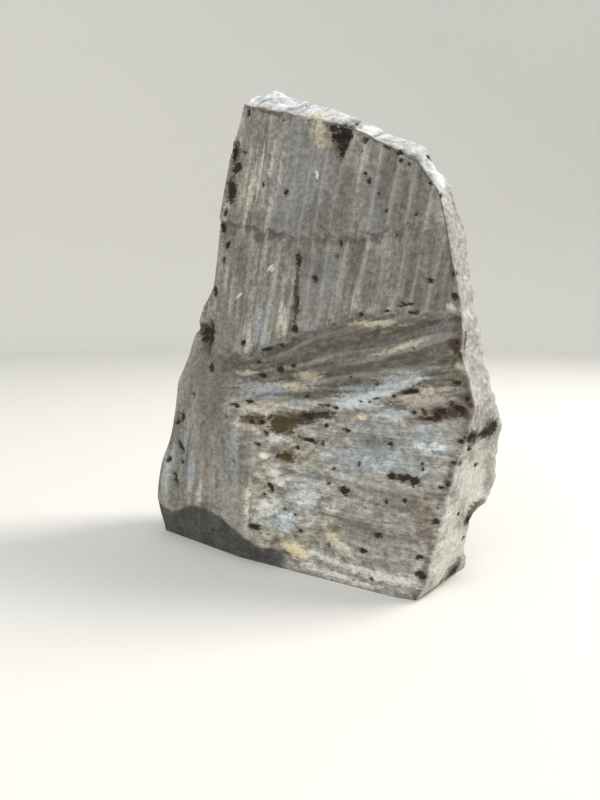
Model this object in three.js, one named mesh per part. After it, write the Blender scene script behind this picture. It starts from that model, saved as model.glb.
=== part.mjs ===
/**
 * A block of soapstone from the quarry, roughly shaped by hand: one solid that stands on its sawn foot.
 * Its broad front was dressed with a gouge in two courses of upright cuts, over a band of slanting cuts and a
 * rough, pitted lower half. The other sides are broken. Millimetres, +Z up. The front faces -Y and turns a
 * little to the left. The origin is under the middle of the block, on the plane of the foot.
 *
 * The form is a loft: nine arrises run up the block and a course of points is laid round them at each height.
 * The relief (gouge cuts, ledges, hollows, broken scars) then moves each point along the loft's own normal.
 */
import * as THREE from 'three';

const { lerp, smoothstep } = THREE.MathUtils;

// ----------------------------------------------------------------------------------------------------------
// Driving dimensions
// ----------------------------------------------------------------------------------------------------------

// The arrises in their order round the block, against the clock seen from above. `rise` runs up from the foot
// to the edge of the top, and `crest` is where the top's sloping edge turns over. Each point is [x, y, z].
// `columns` is the number of columns of faces between an arris and the next one.
const ARRISES = [
  { // the left edge of the front, which flares out to a broad foot
    rise: [[-71, 25, 0], [-74, 25, 17], [-72, 30, 34], [-68, 33, 51], [-64, 36, 74], [-59, 37, 88],
      [-54, 34, 106], [-48, 31, 120], [-44, 28, 140], [-40, 25, 165], [-36, 22, 186], [-30, 19, 202]],
    crest: [-24, 32, 209],
    columns: 5,
  },
  { // the blunt ridge between the narrow left panel and the front
    rise: [[-31, -13, 0], [-26, -18, 10], [-28, -13, 26], [-28, -9, 39], [-33, -1, 55], [-40, 10, 67],
      [-43, 21, 88], [-44, 27, 107], [-36, 23, 140], [-31, 19, 165], [-21, 12, 198]],
    crest: [-15, 22, 209],
    columns: 24,
  },
  { // the middle of the front, where the lower half leans back most
    rise: [[18, -47, 0], [16, -41, 14], [14, -34, 38], [12, -24, 66], [10, -13, 95], [10, -10, 140],
      [11, -6, 188]],
    crest: [7, 8, 198],
    columns: 15,
  },
  { // the right shoulder of the front
    rise: [[31, -56, 0], [32, -54, 14], [34, -47, 38], [38, -42, 66], [40, -38, 85], [41, -35, 105],
      [41, -33, 140], [41, -30, 169]],
    crest: [48, -22, 174],
    columns: 5,
  },
  { // the sharp right edge of the front, which swells at mid height
    rise: [[40, -60, 0], [44, -60, 10], [50, -58, 36], [55, -57, 52], [59, -57, 64], [61, -56, 74],
      [59, -51, 85], [57, -48, 94], [58, -47, 105], [55, -43, 125], [53, -41, 139], [50, -37, 155]],
    crest: [51, -24, 165],
    columns: 7,
  },
  { // the far edge of the narrow right facet
    rise: [[66, -26, 0], [69, -27, 6], [69, -30, 16], [73, -28, 27], [77, -24, 38], [78, -28, 52],
      [76, -37, 64], [71, -39, 80], [68, -36, 97], [66, -35, 108], [65, -32, 121], [63, -27, 139],
      [57, -28, 157]],
    crest: [55, -20, 163],
    columns: 6,
  },
  { // the right corner of the back
    rise: [[50, 9, 0], [54, 8, 16], [61, 5, 38], [60, 2, 62], [56, 5, 84], [52, 1, 108], [45, 5, 130],
      [36, 2, 160]],
    crest: [34, -1, 168],
    columns: 8,
  },
  { // the middle of the back, its furthest swell
    rise: [[10, 47, 0], [17, 51, 22], [19, 52, 50], [11, 54, 78], [9, 47, 104], [9, 40, 134], [0, 38, 160],
      [-1, 31, 182]],
    crest: [3, 24, 189],
    columns: 9,
  },
  { // the left corner of the back
    rise: [[-44, 57, 0], [-52, 60, 18], [-51, 62, 44], [-54, 57, 66], [-47, 58, 92], [-42, 53, 118],
      [-40, 50, 140], [-31, 49, 166], [-27, 41, 190]],
    crest: [-22, 36, 199],
    columns: 7,
  },
];
const SIDE_ROWS = 45; // rows of faces from the foot to the edge of the top
const CREST_ROWS = 3; // rows on the sloping edge of the top
const CAP_ROWS = 5; // rings of faces that close the top
const CAP = { middle: [14, 8, 189], fall: [0.55, 0.05] }; // the top's middle, and its fall per mm of x and y
const CENTRING = [-2.1, 2.4]; // moves the block so that its box stands centred on the origin

// Where the sides of the block change, as places round it: 0 is the first arris, 1 the second, and so on.
const FRONT = { start: 0, end: 4, turn: 0.3 }; // its relief fades out within `turn` beyond its two edges
const PANEL = { start: 0.8, end: 1.1, low: 88, high: 100 }; // it fades out to the right, and from low to high
const BACK = { start: [5, 5.6], end: [8.4, 9] }; // the spalls come in over `start` and go over `end`
const TOP = { start: 1, end: 1.2 }; // shares of the height over which the sides' relief ends

const FOOT_FADE = 5; // height above the foot in which the relief comes in, so that the foot stays flat
const TOP_STRENGTH = 0.5; // how much of the relief is left on the top, where the courses crowd together

// The gouge cuts of the upper front: their spacing across, their sideways lean for each millimetre of height,
// the depth of one cut below the crests between the cuts, how much that depth varies, and how far a cut
// wanders, as a share of the spacing, over cells of noise so wide and high.
const GOUGE = { spacing: 7, lean: 0.167, depth: 0.7, uneven: 0.45, wander: 0.3, cell: [9, 40] };

// The slanting cuts of the band below, which fan out from a point left of the block: the angle of one cut,
// its depth, which grows from `near` to `far` of the centre, how far a cut wanders, as a share of the angle,
// over cells of noise of that size, and the share of a cut over which it rises.
const FAN = {
  centre: [-78, 66], degrees: 5.5, depth: 1.3, near: 40, far: 90, wander: 0.35, cell: 16, rise: 0.65,
};

const CUTS_FADE = 1; // half the height in which the gouge cuts give way to the band below
const BAND_FOOT = { low: 66, high: 72 }; // heights between which the slanting cuts come in
const ROUGH_TOP = { low: 64, high: 74 }; // heights between which the rough lower half ends

// Coarse grain of the rough lower half, and the soft flutes of the left panel: the width and height of a cell
// of noise, and how far it stands out.
const ROUGH_GRAINS = [{ cell: [10, 7], height: 1.4 }, { cell: [14, 3.4], height: 0.6 }];
const PANEL_FLUTES = { cell: [5, 25], height: 0.3 };

const LEDGE_EDGE = 2; // half the height in which a ledge steps out
const LEDGE_END = 4; // half the length in which it dies out at its ends

// Ledges across the front. The surface stands `proud` of the line and falls back over `run` above it.
const LEDGES = [
  { line: [[-46, 152], [-20, 144], [0, 140], [24, 139], [44, 143]], proud: 0.8, run: 34, scallop: 2.5 },
  { line: [[-44, 86], [-33, 88], [-15, 94], [-4, 99], [14, 103], [24, 106], [60, 107]], proud: 1.4, run: 30,
    scallop: 1.5 },
  { line: [[12, 84], [28, 88], [54, 98]], proud: 1.2, run: 7, scallop: 0 },
  { line: [[-6, 64], [16, 68], [50, 78]], proud: 1.3, run: 8, scallop: 0 },
  { line: [[-40, 65], [-24, 64], [-2, 62]], proud: 1.4, run: 7, scallop: 0 },
  { line: [[-30, 40], [0, 42], [30, 38], [56, 42]], proud: 0.8, run: 10, scallop: 0 },
];

// The undercut chamfer along the foot, at the left of the front. The surface stands `proud` of the foot at the
// line, slopes back to it below, and falls back over `run` above. It comes in over `start` and goes over `end`.
const CHAMFER = {
  line: [[-75, 15], [-63, 13], [-54, 18], [-47, 18.5], [-38, 16.5], [-30.5, 12.5], [-26, 9], [-20, 5.5]],
  proud: 2.6, run: 26, start: [-76, -66], end: [-24, -12],
};

// Hollows in the front, as [x, z] of the middle, [half width, half height], and depth.
const HOLLOWS = [
  { at: [12.5, 180], half: [6, 7.5], depth: 2.8 }, // iron-stained hollow under the top edge
  { at: [-1, 184], half: [6, 7], depth: 1.4 }, // chip beside it
  { at: [-53, 100], half: [5, 4], depth: 2.6 }, // notch in the left edge
  { at: [-49, 93], half: [3, 5], depth: 1.6 },
  { at: [53, 70], half: [10, 5], depth: 1.8 }, // stained hollow at the right edge
  { at: [-14, 60], half: [6, 5], depth: 1.6 }, // ochre hollow
  { at: [37, 44.5], half: [7, 2.8], depth: 1.8 }, // slot
  { at: [59, 106], half: [4, 4], depth: 1.5 },
  { at: [-24, 14], half: [4, 3], depth: 1.2 },
];

// Lumps that stand out of the front, written as the hollows are.
const LUMPS = [
  { at: [-6, 12], half: [7, 5], height: 1.4 },
  { at: [10, 20], half: [10, 6], height: 0.9 },
  { at: [-14, 34], half: [9, 9], height: 0.8 },
  { at: [28, 62], half: [9, 6], height: 0.8 },
];

// Flat breaks that took off the block's corners: a point of each plane, and the way it faces.
const SPALLS = [
  { at: [13, 47, 88], facing: [0.35, 0.9, 0.18] },
  { at: [15, 49, 40], facing: [0.62, 0.78, -0.1] },
  { at: [-44, 55, 60], facing: [-0.35, 0.92, -0.12] },
  { at: [-36, 46, 150], facing: [-0.5, 0.82, 0.18] },
  { at: [56, 2, 50], facing: [0.95, 0.3, 0.12] },
  { at: [48, 3, 112], facing: [0.85, 0.35, 0.08] },
  { at: [-60, 46, 20], facing: [-0.75, 0.5, -0.3] },
  { at: [-50, 45, 100], facing: [-0.9, 0.3, 0.15] },
  { at: [28, 26, 140], facing: [0.55, 0.7, 0.28] },
];

// Broken scars of the other sides: shells of a sphere, each with a crisp rim.
const SCARS = [
  { at: [40, 28, 120], radius: 34, depth: 4 },
  { at: [36, 34, 60], radius: 40, depth: 4.5 },
  { at: [-18, 58, 95], radius: 42, depth: 5 },
  { at: [-20, 58, 30], radius: 34, depth: 4 },
  { at: [-8, 46, 160], radius: 30, depth: 4 },
  { at: [30, 30, 12], radius: 24, depth: 3 },
  { at: [-60, 48, 52], radius: 26, depth: 3 },
  { at: [-46, 40, 120], radius: 24, depth: 2.5 },
  { at: [-30, 32, 178], radius: 18, depth: 2 },
  { at: [68, -8, 60], radius: 22, depth: 3 },
  { at: [55, -16, 128], radius: 20, depth: 2.5 },
  { at: [73, -31, 17], radius: 13, depth: 4.5 }, // the notch low on the right facet's edge
  { at: [66, -12, 26], radius: 15, depth: 2 },
  { at: [0, 18, 196], radius: 20, depth: 3 },
  { at: [34, -8, 178], radius: 16, depth: 2.5 },
];

const SCAR_UNEVEN = { cell: 11, share: 0.18 }; // noise that makes the rim of a scar uneven
const OVAL_UNEVEN = { cell: 4, share: 0.25 }; // the same for the ovals of the front

// Broad waviness of every side, and the coarse grain of the broken ones: the cell of noise, and its height.
const WAVES = [{ cell: 27, height: 1.3 }, { cell: 12, height: 0.6 }];
const BROKEN_GRAIN = { cell: [10, 10, 8], height: 1 };

// Planes of the noise for the reliefs of the front, so that no two share a pattern.
const PLANES = { gouge: 0.5, fan: 2.5, oval: 4.5, panel: 6.5, rough: [8.5, 9.5] };

// ----------------------------------------------------------------------------------------------------------
// Noise
// ----------------------------------------------------------------------------------------------------------

/** A repeatable random number from -1 to 1 for each corner of a lattice of whole numbers. */
function lattice(i, j, k) {
  let mixed = Math.imul(i, 374761393) + Math.imul(j, 668265263) + Math.imul(k, 1442695041);
  mixed = Math.imul(mixed ^ (mixed >>> 13), 1274126177);
  return ((mixed ^ (mixed >>> 16)) >>> 0) / 2147483648 - 1;
}

/** Value noise: the lattice's numbers, blended smoothly inside each cell. */
function noise(x, y, z) {
  const [i, j, k] = [Math.floor(x), Math.floor(y), Math.floor(z)];
  const [u, v, w] = [x - i, y - j, z - k].map((part) => part * part * (3 - 2 * part));
  const edge = (dj, dk) => lerp(lattice(i, j + dj, k + dk), lattice(i + 1, j + dj, k + dk), u);
  return lerp(lerp(edge(0, 0), edge(1, 0), v), lerp(edge(0, 1), edge(1, 1), v), w);
}

// ----------------------------------------------------------------------------------------------------------
// The loft
// ----------------------------------------------------------------------------------------------------------

/** The point of an arris at a given height, along the straight stretches between its own points. */
function arrisAt(rise, height) {
  let upper = 1;
  while (upper < rise.length - 1 && rise[upper][2] < height) upper += 1;
  const from = new THREE.Vector3(...rise[upper - 1]);
  const to = new THREE.Vector3(...rise[upper]);
  return from.lerp(to, (height - from.z) / (to.z - from.z));
}

/** The point of an arris at share `up`: 0 at the foot, 1 at the edge of the top, 2 at the crest. */
function arrisPoint(arris, up) {
  const edge = new THREE.Vector3(...arris.rise.at(-1));
  if (up > 1) return edge.lerp(new THREE.Vector3(...arris.crest), up - 1);
  return arrisAt(arris.rise, up * edge.z);
}

/** The places round the block where a column of points stands: 0 at the first arris, 1 at the second. */
function columnPlaces() {
  return ARRISES.flatMap(({ columns }, arris) =>
    Array.from({ length: columns }, (_, step) => arris + step / columns));
}

/** A point of the back after the flat spalls: a point outside a spall's plane drops straight back to it. */
function spalled(point, place, up) {
  const roundBack = smoothstep(place, ...BACK.start) * (1 - smoothstep(place, ...BACK.end));
  const onBack = roundBack * (1 - smoothstep(up, 0.9, 1.1)); // not on the top
  return SPALLS.reduce((kept, { at, facing }) => {
    const normal = new THREE.Vector3(...facing).normalize();
    const outside = Math.max(0, kept.clone().sub(new THREE.Vector3(...at)).dot(normal));
    return kept.clone().addScaledVector(normal, -onBack * outside);
  }, point);
}

/** One closed course of points round the block at share `up`. */
function course(places, up) {
  const corners = ARRISES.map((arris) => arrisPoint(arris, up));
  return places.map((place) => {
    const arris = Math.floor(place);
    const next = corners[(arris + 1) % corners.length];
    return corners[arris].clone().lerp(next, place - arris);
  });
}

/** The shares `up` of all courses: 0 to 1 up the sides, to 2 at the crest, and towards 3 across the top. */
function courseShares() {
  const steps = (from, count) => Array.from({ length: count }, (_, step) => from + step / count);
  return [...steps(0, SIDE_ROWS), ...steps(1, CREST_ROWS), ...steps(2, CAP_ROWS)];
}

/** The point that lies `inward` of the way from the crest to the top's middle, on the top's even slope. */
function capPoint(crest, inward) {
  const middle = new THREE.Vector3(...CAP.middle);
  const point = crest.clone().lerp(middle, inward);
  const slope = middle.z - CAP.fall[0] * (point.x - middle.x) - CAP.fall[1] * (point.y - middle.y);
  point.z = lerp(point.z, slope, smoothstep(inward, 0, 0.6));
  return point;
}

/** All the courses, from the foot to the last ring of the top. */
function loftCourses(places, shares) {
  const crest = course(places, 2);
  return shares.map((up) =>
    (up <= 2 ? course(places, up) : crest.map((point) => capPoint(point, up - 2)))
      .map((point, column) => spalled(point, places[column], up)));
}

/** The loft's outward normal at a point, from its neighbours along the course and above and below it. */
function loftNormal(courses, row, column) {
  const round = courses[row].length;
  const along = courses[row][(column + 1) % round].clone().sub(courses[row][(column + round - 1) % round]);
  const above = courses[Math.min(row + 1, courses.length - 1)][column];
  const below = courses[Math.max(row - 1, 0)][column];
  return along.cross(above.clone().sub(below)).normalize();
}

// ----------------------------------------------------------------------------------------------------------
// The relief
// ----------------------------------------------------------------------------------------------------------

/** The height of a line of [x, z] points at x, level beyond its ends. */
function lineHeight(line, x) {
  if (x <= line[0][0]) return line[0][1];
  const next = line.findIndex(([end]) => end > x);
  if (next < 0) return line.at(-1)[1];
  const [[x0, z0], [x1, z1]] = [line[next - 1], line[next]];
  return lerp(z0, z1, (x - x0) / (x1 - x0));
}

/** Where x, z lies across the gouge cuts: its cut's number, and -1 to 1 from the left crest to the right. */
function gougePlace(x, z) {
  const wander = GOUGE.wander * noise(x / GOUGE.cell[0], PLANES.gouge, z / GOUGE.cell[1]);
  const across = (x - GOUGE.lean * z) / GOUGE.spacing + wander;
  const cut = Math.floor(across);
  return { cut, side: 2 * (across - cut) - 1 };
}

/** Gouge cuts: each is a rounded trough between two sharp crests, no two equally deep. */
function gougeCuts(x, z) {
  const { cut, side } = gougePlace(x, z);
  const bite = 1 + GOUGE.uneven * lattice(cut, 7, z > lineHeight(LEDGES[0].line, x) ? 1 : 2);
  return GOUGE.depth * bite * (side * side - 1);
}

/** Slanting cuts: steps round the fan's centre, each rising slowly and then falling back to the next. */
function fanCuts(x, z) {
  const degrees = THREE.MathUtils.radToDeg(Math.atan2(z - FAN.centre[1], x - FAN.centre[0]));
  const across = degrees / FAN.degrees + FAN.wander * noise(x / FAN.cell, PLANES.fan, z / FAN.cell);
  const depth = FAN.depth * smoothstep(Math.hypot(x - FAN.centre[0], z - FAN.centre[1]), FAN.near, FAN.far);
  const share = across - Math.floor(across);
  return depth * Math.min(share / FAN.rise, (1 - share) / (1 - FAN.rise));
}

/** A ledge: nothing under its line, proud on it, and falling back to nothing over its run. */
function ledgeHeight({ line, proud, run, scallop }, x, z) {
  const { side } = gougePlace(x, z);
  const above = z - lineHeight(line, x) - scallop * side * side;
  const [start, end] = [line[0][0], line.at(-1)[0]];
  const begun = smoothstep(x, start - LEDGE_END, start + LEDGE_END);
  const ended = smoothstep(x, end - LEDGE_END, end + LEDGE_END);
  const fall = Math.max(0, 1 - Math.max(above, 0) / run);
  return begun * (1 - ended) * proud * fall * smoothstep(above, -LEDGE_EDGE, LEDGE_EDGE);
}

/** The chamfer along the foot: a ridge at its line, which slopes evenly back to the foot and up the front. */
function chamferHeight(x, z) {
  const above = z - lineHeight(CHAMFER.line, x);
  const share = above < 0 ? z / (z - above) : Math.max(0, 1 - above / CHAMFER.run);
  return CHAMFER.proud * share * smoothstep(x, ...CHAMFER.start) * (1 - smoothstep(x, ...CHAMFER.end));
}

/** A bump of height 1 in the middle of an oval that fades to nothing at its uneven rim. */
function oval({ at, half }, x, z) {
  const { cell, share } = OVAL_UNEVEN;
  const wobble = 1 + share * noise(x / cell, PLANES.oval, z / cell);
  const reach = Math.hypot((x - at[0]) / half[0], (z - at[1]) / half[1]) * wobble;
  return reach < 1 ? (1 - reach * reach) ** 2 : 0;
}

/** The relief of the front at x, z: cuts above, fan below them, and a rough lower half. */
function frontRelief(x, z) {
  const cutsEnd = lineHeight(LEDGES[1].line, x);
  const upright = smoothstep(z, cutsEnd - CUTS_FADE, cutsEnd + CUTS_FADE);
  const slanting = (1 - upright) * smoothstep(z, BAND_FOOT.low, BAND_FOOT.high);
  const rough = 1 - smoothstep(z, ROUGH_TOP.low, ROUGH_TOP.high);
  let height = upright * gougeCuts(x, z) + slanting * fanCuts(x, z);
  ROUGH_GRAINS.forEach((grain, number) => {
    height += rough * grain.height * noise(x / grain.cell[0], PLANES.rough[number], z / grain.cell[1]);
  });
  height += LEDGES.reduce((sum, ledge) => sum + ledgeHeight(ledge, x, z), 0);
  height -= HOLLOWS.reduce((sum, hollow) => sum + hollow.depth * oval(hollow, x, z), 0);
  height += LUMPS.reduce((sum, lump) => sum + lump.height * oval(lump, x, z), 0);
  return height;
}

/** The relief of the broken sides: the deepest of the scars that reach the point, over a coarse grain. */
function brokenRelief(point) {
  const { x, y, z } = point;
  const { cell, share } = SCAR_UNEVEN;
  const wobble = 1 + share * noise(x / cell, y / cell, z / cell);
  const scars = SCARS.map(({ at, radius, depth }) => {
    const reach = (point.distanceTo(new THREE.Vector3(...at)) / radius) * wobble;
    return depth * Math.max(0, 1 - reach * reach);
  });
  const [width, depth, height] = BROKEN_GRAIN.cell;
  return BROKEN_GRAIN.height * noise(x / width, y / depth, z / height) - Math.max(...scars);
}

/** How far the surface stands out of the loft at a point, `place` round the block and at share `up`. */
function relief(point, place, up) {
  const { x, y, z } = point;
  const wrapped = place > ARRISES.length - FRONT.turn ? place - ARRISES.length : place;
  const onSides = 1 - smoothstep(up, TOP.start, TOP.end);
  const begun = smoothstep(wrapped, FRONT.start - FRONT.turn, FRONT.start);
  const ended = smoothstep(wrapped, FRONT.end, FRONT.end + FRONT.turn);
  const onFront = onSides * begun * (1 - ended);
  const beside = 1 - smoothstep(wrapped, PANEL.start, PANEL.end);
  const onPanel = onFront * beside * (1 - smoothstep(z, PANEL.low, PANEL.high));
  const waves = WAVES.reduce(
    (sum, { cell, height }) => sum + height * noise(x / cell, y / cell, z / cell), 0);
  const [width, length] = PANEL_FLUTES.cell;
  const flutes = PANEL_FLUTES.height * noise(x / width, PLANES.panel, z / length);
  const own = lerp(brokenRelief(point), frontRelief(x, z), onFront);
  return waves + lerp(own, flutes, onPanel) + onFront * chamferHeight(x, z);
}

// ----------------------------------------------------------------------------------------------------------
// The mesh
// ----------------------------------------------------------------------------------------------------------

/**
 * Moves every point of the courses along the loft's normal, or upwards on the top. The foot's own course
 * stays on its plane.
 */
function carve(courses, places, shares) {
  const upwards = new THREE.Vector3(0, 0, 1);
  return courses.map((points, row) => points.map((point, column) => {
    const onTop = smoothstep(shares[row], 1.5, 2.1); // the normal turns upwards round the crest
    const normal = loftNormal(courses, row, column).lerp(upwards, onTop).normalize();
    const fade = lerp(1, TOP_STRENGTH, smoothstep(shares[row], 1, 2));
    const strength = smoothstep(point.z, 0, FOOT_FADE) * fade;
    return point.clone().addScaledVector(normal, strength * relief(point, places[column], shares[row]));
  }));
}

/** The two triangles of a face, given its corners against the clock, parted along its shorter diagonal. */
function facePair(points, [a, b, c, d]) {
  const alongFirst = points[a].distanceTo(points[c]) <= points[b].distanceTo(points[d]);
  return alongFirst ? [a, b, c, a, c, d] : [a, b, d, b, c, d];
}

/** The closed solid: courses joined by two triangles a face, a flat fan for the foot and one for the top. */
function stoneGeometry() {
  const places = columnPlaces();
  const shares = courseShares();
  const courses = carve(loftCourses(places, shares), places, shares);
  const round = places.length;
  const points = [...courses.flat(), new THREE.Vector3(0, 0, 0), new THREE.Vector3(...CAP.middle)];
  const [footMiddle, topMiddle] = [points.length - 2, points.length - 1];
  const faces = [];
  for (let row = 0; row < courses.length - 1; row += 1) {
    for (let column = 0; column < round; column += 1) {
      const [here, beside] = [row * round + column, row * round + (column + 1) % round];
      faces.push(...facePair(points, [here, beside, beside + round, here + round]));
    }
  }
  const lastRow = (courses.length - 1) * round;
  for (let column = 0; column < round; column += 1) {
    const beside = (column + 1) % round;
    faces.push(footMiddle, beside, column, lastRow + column, lastRow + beside, topMiddle);
  }
  const geometry = new THREE.BufferGeometry().setFromPoints(points);
  geometry.setIndex(faces);
  geometry.translate(...CENTRING, 0);
  geometry.computeVertexNormals();
  return geometry;
}

const soapstone = new THREE.MeshStandardMaterial({ color: 0x9d9a92, roughness: 0.85, metalness: 0 });

const stone = new THREE.Mesh(stoneGeometry(), soapstone);
stone.name = 'stone';

const group = new THREE.Group();
group.add(stone);

export default group;
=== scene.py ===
"""A block of soapstone, roughly shaped by hand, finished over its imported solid.

It is one piece, `soapstone_block`. Its form is the solid's own loft and relief, worked out again on a
finer grid from the same named values, with the fine work that the solid leaves out: the lines of the tool's
edge, thin beds, iron-stained pits, chips along the arrises, and thin plates on the broken sides. Each point
of the mesh has a value for every zone and mark, and the stone's one material places its colours by them.
Sizes are millimetres until the mesh is made. The front faces -Y.
"""

import math

import bpy
import numpy as np
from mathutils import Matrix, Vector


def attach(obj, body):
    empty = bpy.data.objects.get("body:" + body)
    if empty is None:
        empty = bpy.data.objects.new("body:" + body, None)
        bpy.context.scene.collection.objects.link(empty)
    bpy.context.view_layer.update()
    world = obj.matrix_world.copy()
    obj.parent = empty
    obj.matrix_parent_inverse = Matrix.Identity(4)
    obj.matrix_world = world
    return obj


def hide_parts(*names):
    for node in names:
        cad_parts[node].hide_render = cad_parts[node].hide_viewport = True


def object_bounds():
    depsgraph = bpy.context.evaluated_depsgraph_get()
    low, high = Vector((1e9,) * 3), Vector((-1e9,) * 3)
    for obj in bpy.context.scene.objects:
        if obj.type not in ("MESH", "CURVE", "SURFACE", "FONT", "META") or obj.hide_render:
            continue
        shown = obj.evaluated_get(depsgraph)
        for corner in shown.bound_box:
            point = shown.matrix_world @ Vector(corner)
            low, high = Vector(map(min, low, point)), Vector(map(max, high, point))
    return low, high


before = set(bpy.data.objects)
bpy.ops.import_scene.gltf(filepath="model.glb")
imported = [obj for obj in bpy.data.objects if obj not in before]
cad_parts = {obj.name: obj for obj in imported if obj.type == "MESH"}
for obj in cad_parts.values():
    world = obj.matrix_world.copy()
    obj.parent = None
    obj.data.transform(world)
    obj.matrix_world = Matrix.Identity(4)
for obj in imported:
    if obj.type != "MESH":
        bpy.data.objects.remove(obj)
cad_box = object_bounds()

# -------- The form: the same driving dimensions as the solid's --------

MM = 0.001  # metres

# The arrises in their order round the block, against the clock seen from above. `rise` runs up from the foot
# to the edge of the top, and `crest` is where the top's sloping edge turns over. `guides` is the number of
# columns of the solid between an arris and the next one, and `columns` the number of columns of the fine
# surface.
ARRISES = [
    {  # the left edge of the front, which flares out to a broad foot
        "rise": [(-71, 25, 0), (-74, 25, 17), (-72, 30, 34), (-68, 33, 51), (-64, 36, 74), (-59, 37, 88),
                 (-54, 34, 106), (-48, 31, 120), (-44, 28, 140), (-40, 25, 165), (-36, 22, 186),
                 (-30, 19, 202)],
        "crest": (-24, 32, 209), "guides": 5, "columns": 38,
    },
    {  # the blunt ridge between the narrow left panel and the front
        "rise": [(-31, -13, 0), (-26, -18, 10), (-28, -13, 26), (-28, -9, 39), (-33, -1, 55), (-40, 10, 67),
                 (-43, 21, 88), (-44, 27, 107), (-36, 23, 140), (-31, 19, 165), (-21, 12, 198)],
        "crest": (-15, 22, 209), "guides": 24, "columns": 78,
    },
    {  # the middle of the front, where the lower half leans back most
        "rise": [(18, -47, 0), (16, -41, 14), (14, -34, 38), (12, -24, 66), (10, -13, 95), (10, -10, 140),
                 (11, -6, 188)],
        "crest": (7, 8, 198), "guides": 15, "columns": 46,
    },
    {  # the right shoulder of the front
        "rise": [(31, -56, 0), (32, -54, 14), (34, -47, 38), (38, -42, 66), (40, -38, 85), (41, -35, 105),
                 (41, -33, 140), (41, -30, 169)],
        "crest": (48, -22, 174), "guides": 5, "columns": 24,
    },
    {  # the sharp right edge of the front, which swells at mid height
        "rise": [(40, -60, 0), (44, -60, 10), (50, -58, 36), (55, -57, 52), (59, -57, 64), (61, -56, 74),
                 (59, -51, 85), (57, -48, 94), (58, -47, 105), (55, -43, 125), (53, -41, 139),
                 (50, -37, 155)],
        "crest": (51, -24, 165), "guides": 7, "columns": 34,
    },
    {  # the far edge of the narrow right facet
        "rise": [(66, -26, 0), (69, -27, 6), (69, -30, 16), (73, -28, 27), (77, -24, 38), (78, -28, 52),
                 (76, -37, 64), (71, -39, 80), (68, -36, 97), (66, -35, 108), (65, -32, 121), (63, -27, 139),
                 (57, -28, 157)],
        "crest": (55, -20, 163), "guides": 6, "columns": 28,
    },
    {  # the right corner of the back
        "rise": [(50, 9, 0), (54, 8, 16), (61, 5, 38), (60, 2, 62), (56, 5, 84), (52, 1, 108), (45, 5, 130),
                 (36, 2, 160)],
        "crest": (34, -1, 168), "guides": 8, "columns": 36,
    },
    {  # the middle of the back, its furthest swell
        "rise": [(10, 47, 0), (17, 51, 22), (19, 52, 50), (11, 54, 78), (9, 47, 104), (9, 40, 134),
                 (0, 38, 160), (-1, 31, 182)],
        "crest": (3, 24, 189), "guides": 9, "columns": 38,
    },
    {  # the left corner of the back
        "rise": [(-44, 57, 0), (-52, 60, 18), (-51, 62, 44), (-54, 57, 66), (-47, 58, 92), (-42, 53, 118),
                 (-40, 50, 140), (-31, 49, 166), (-27, 41, 190)],
        "crest": (-22, 36, 199), "guides": 7, "columns": 30,
    },
]
GUIDE_ROWS = (45, 3, 5)  # the solid's rows up the sides, on the top's sloping edge, and across the top
ROWS = (244, 12, 22)  # the same for the fine surface
CAP_MIDDLE = (14, 8, 189)
CAP_FALL = (0.55, 0.05)  # the top's fall per mm of x and y
CAP_EDGE = (0, 0.6)  # how far in from its edge, of the way to its middle, the top takes on that fall
CENTRING = (-2.1, 2.4, 0)  # moves the block so that its box stands centred on the origin

# Where each zone comes in or ends: places round the block, counted in arrises from the first, shares of the
# loft, which are 1 at the edge of the top, 2 at its crest and 3 at its middle, or heights in mm.
FRONT_START, FRONT_END = (-0.3, 0), (4, 4.3)
PANEL_END, PANEL_TOP = (0.8, 1.1), (88, 100)
FACET_START, FACET_SMOOTHS, FACET_END = (3.95, 4.05), (3.9, 4.1), (4.9, 5.1)
BACK_START, BACK_END, BACK_TOP = (5, 5.6), (8.4, 9), (0.9, 1.1)
TOP_START, TURNED_UP, BEVEL_END = (1, 1.2), (1.5, 2.1), (1.9, 2.1)
FOOT_FADE, TOP_FADE, TOP_STRENGTH = (0, 5), (1, 2), 0.5  # where the relief weakens, and the share left on top
BAND_FOOT, ROUGH_TOP = (66, 72), (64, 74)
CUTS_FADE = 1  # half the height in which the gouge cuts give way to the band below

# The gouge cuts of the upper front: spacing across, sideways lean for each mm of height, depth, and how much
# the cuts' depths differ.
GOUGE_SPACING, GOUGE_LEAN, GOUGE_DEPTH, GOUGE_UNEVEN = 7, 0.167, 0.7, 0.45

# The slanting cuts of the band below, which fan out from a point left of the block and get deeper away from
# it. Each rises over FAN_RISE of its width, and then falls back.
FAN_CENTRE, FAN_DEGREES, FAN_DEPTH, FAN_RISE = (-78, 66), 5.5, 1.3, 0.65
FAN_DEEPENS = (40, 90)
FAN_ARC = 100  # mm from the fan's centre at which its streaks are measured across

LEDGE_EDGE = 0.8  # half the height in which a ledge steps out
LEDGE_END = 4  # half the length in which it dies out at its ends

# The upper edge of the undercut chamfer along the foot, at the left of the front, how proud of the foot it
# stands, the run over which it falls back above, and the places over which it comes in and goes.
CHAMFER_LINE = [
    (-75, 15), (-63, 13), (-54, 18), (-47, 18.5), (-38, 16.5), (-30.5, 12.5), (-26, 9), (-20, 5.5),
]
CHAMFER_PROUD, CHAMFER_RUN, CHAMFER_START, CHAMFER_END = 2.6, 26, (-76, -66), (-24, -12)
CHAMFER_SPREAD = 2  # how far its painted shade climbs above its line at the right
CHAMFER_EDGE, CHAMFER_CLIMBS, CHAMFER_FADES = 0.4, (-34, -24), (-14, -6)  # of its painted shade, in z and along x
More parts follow.
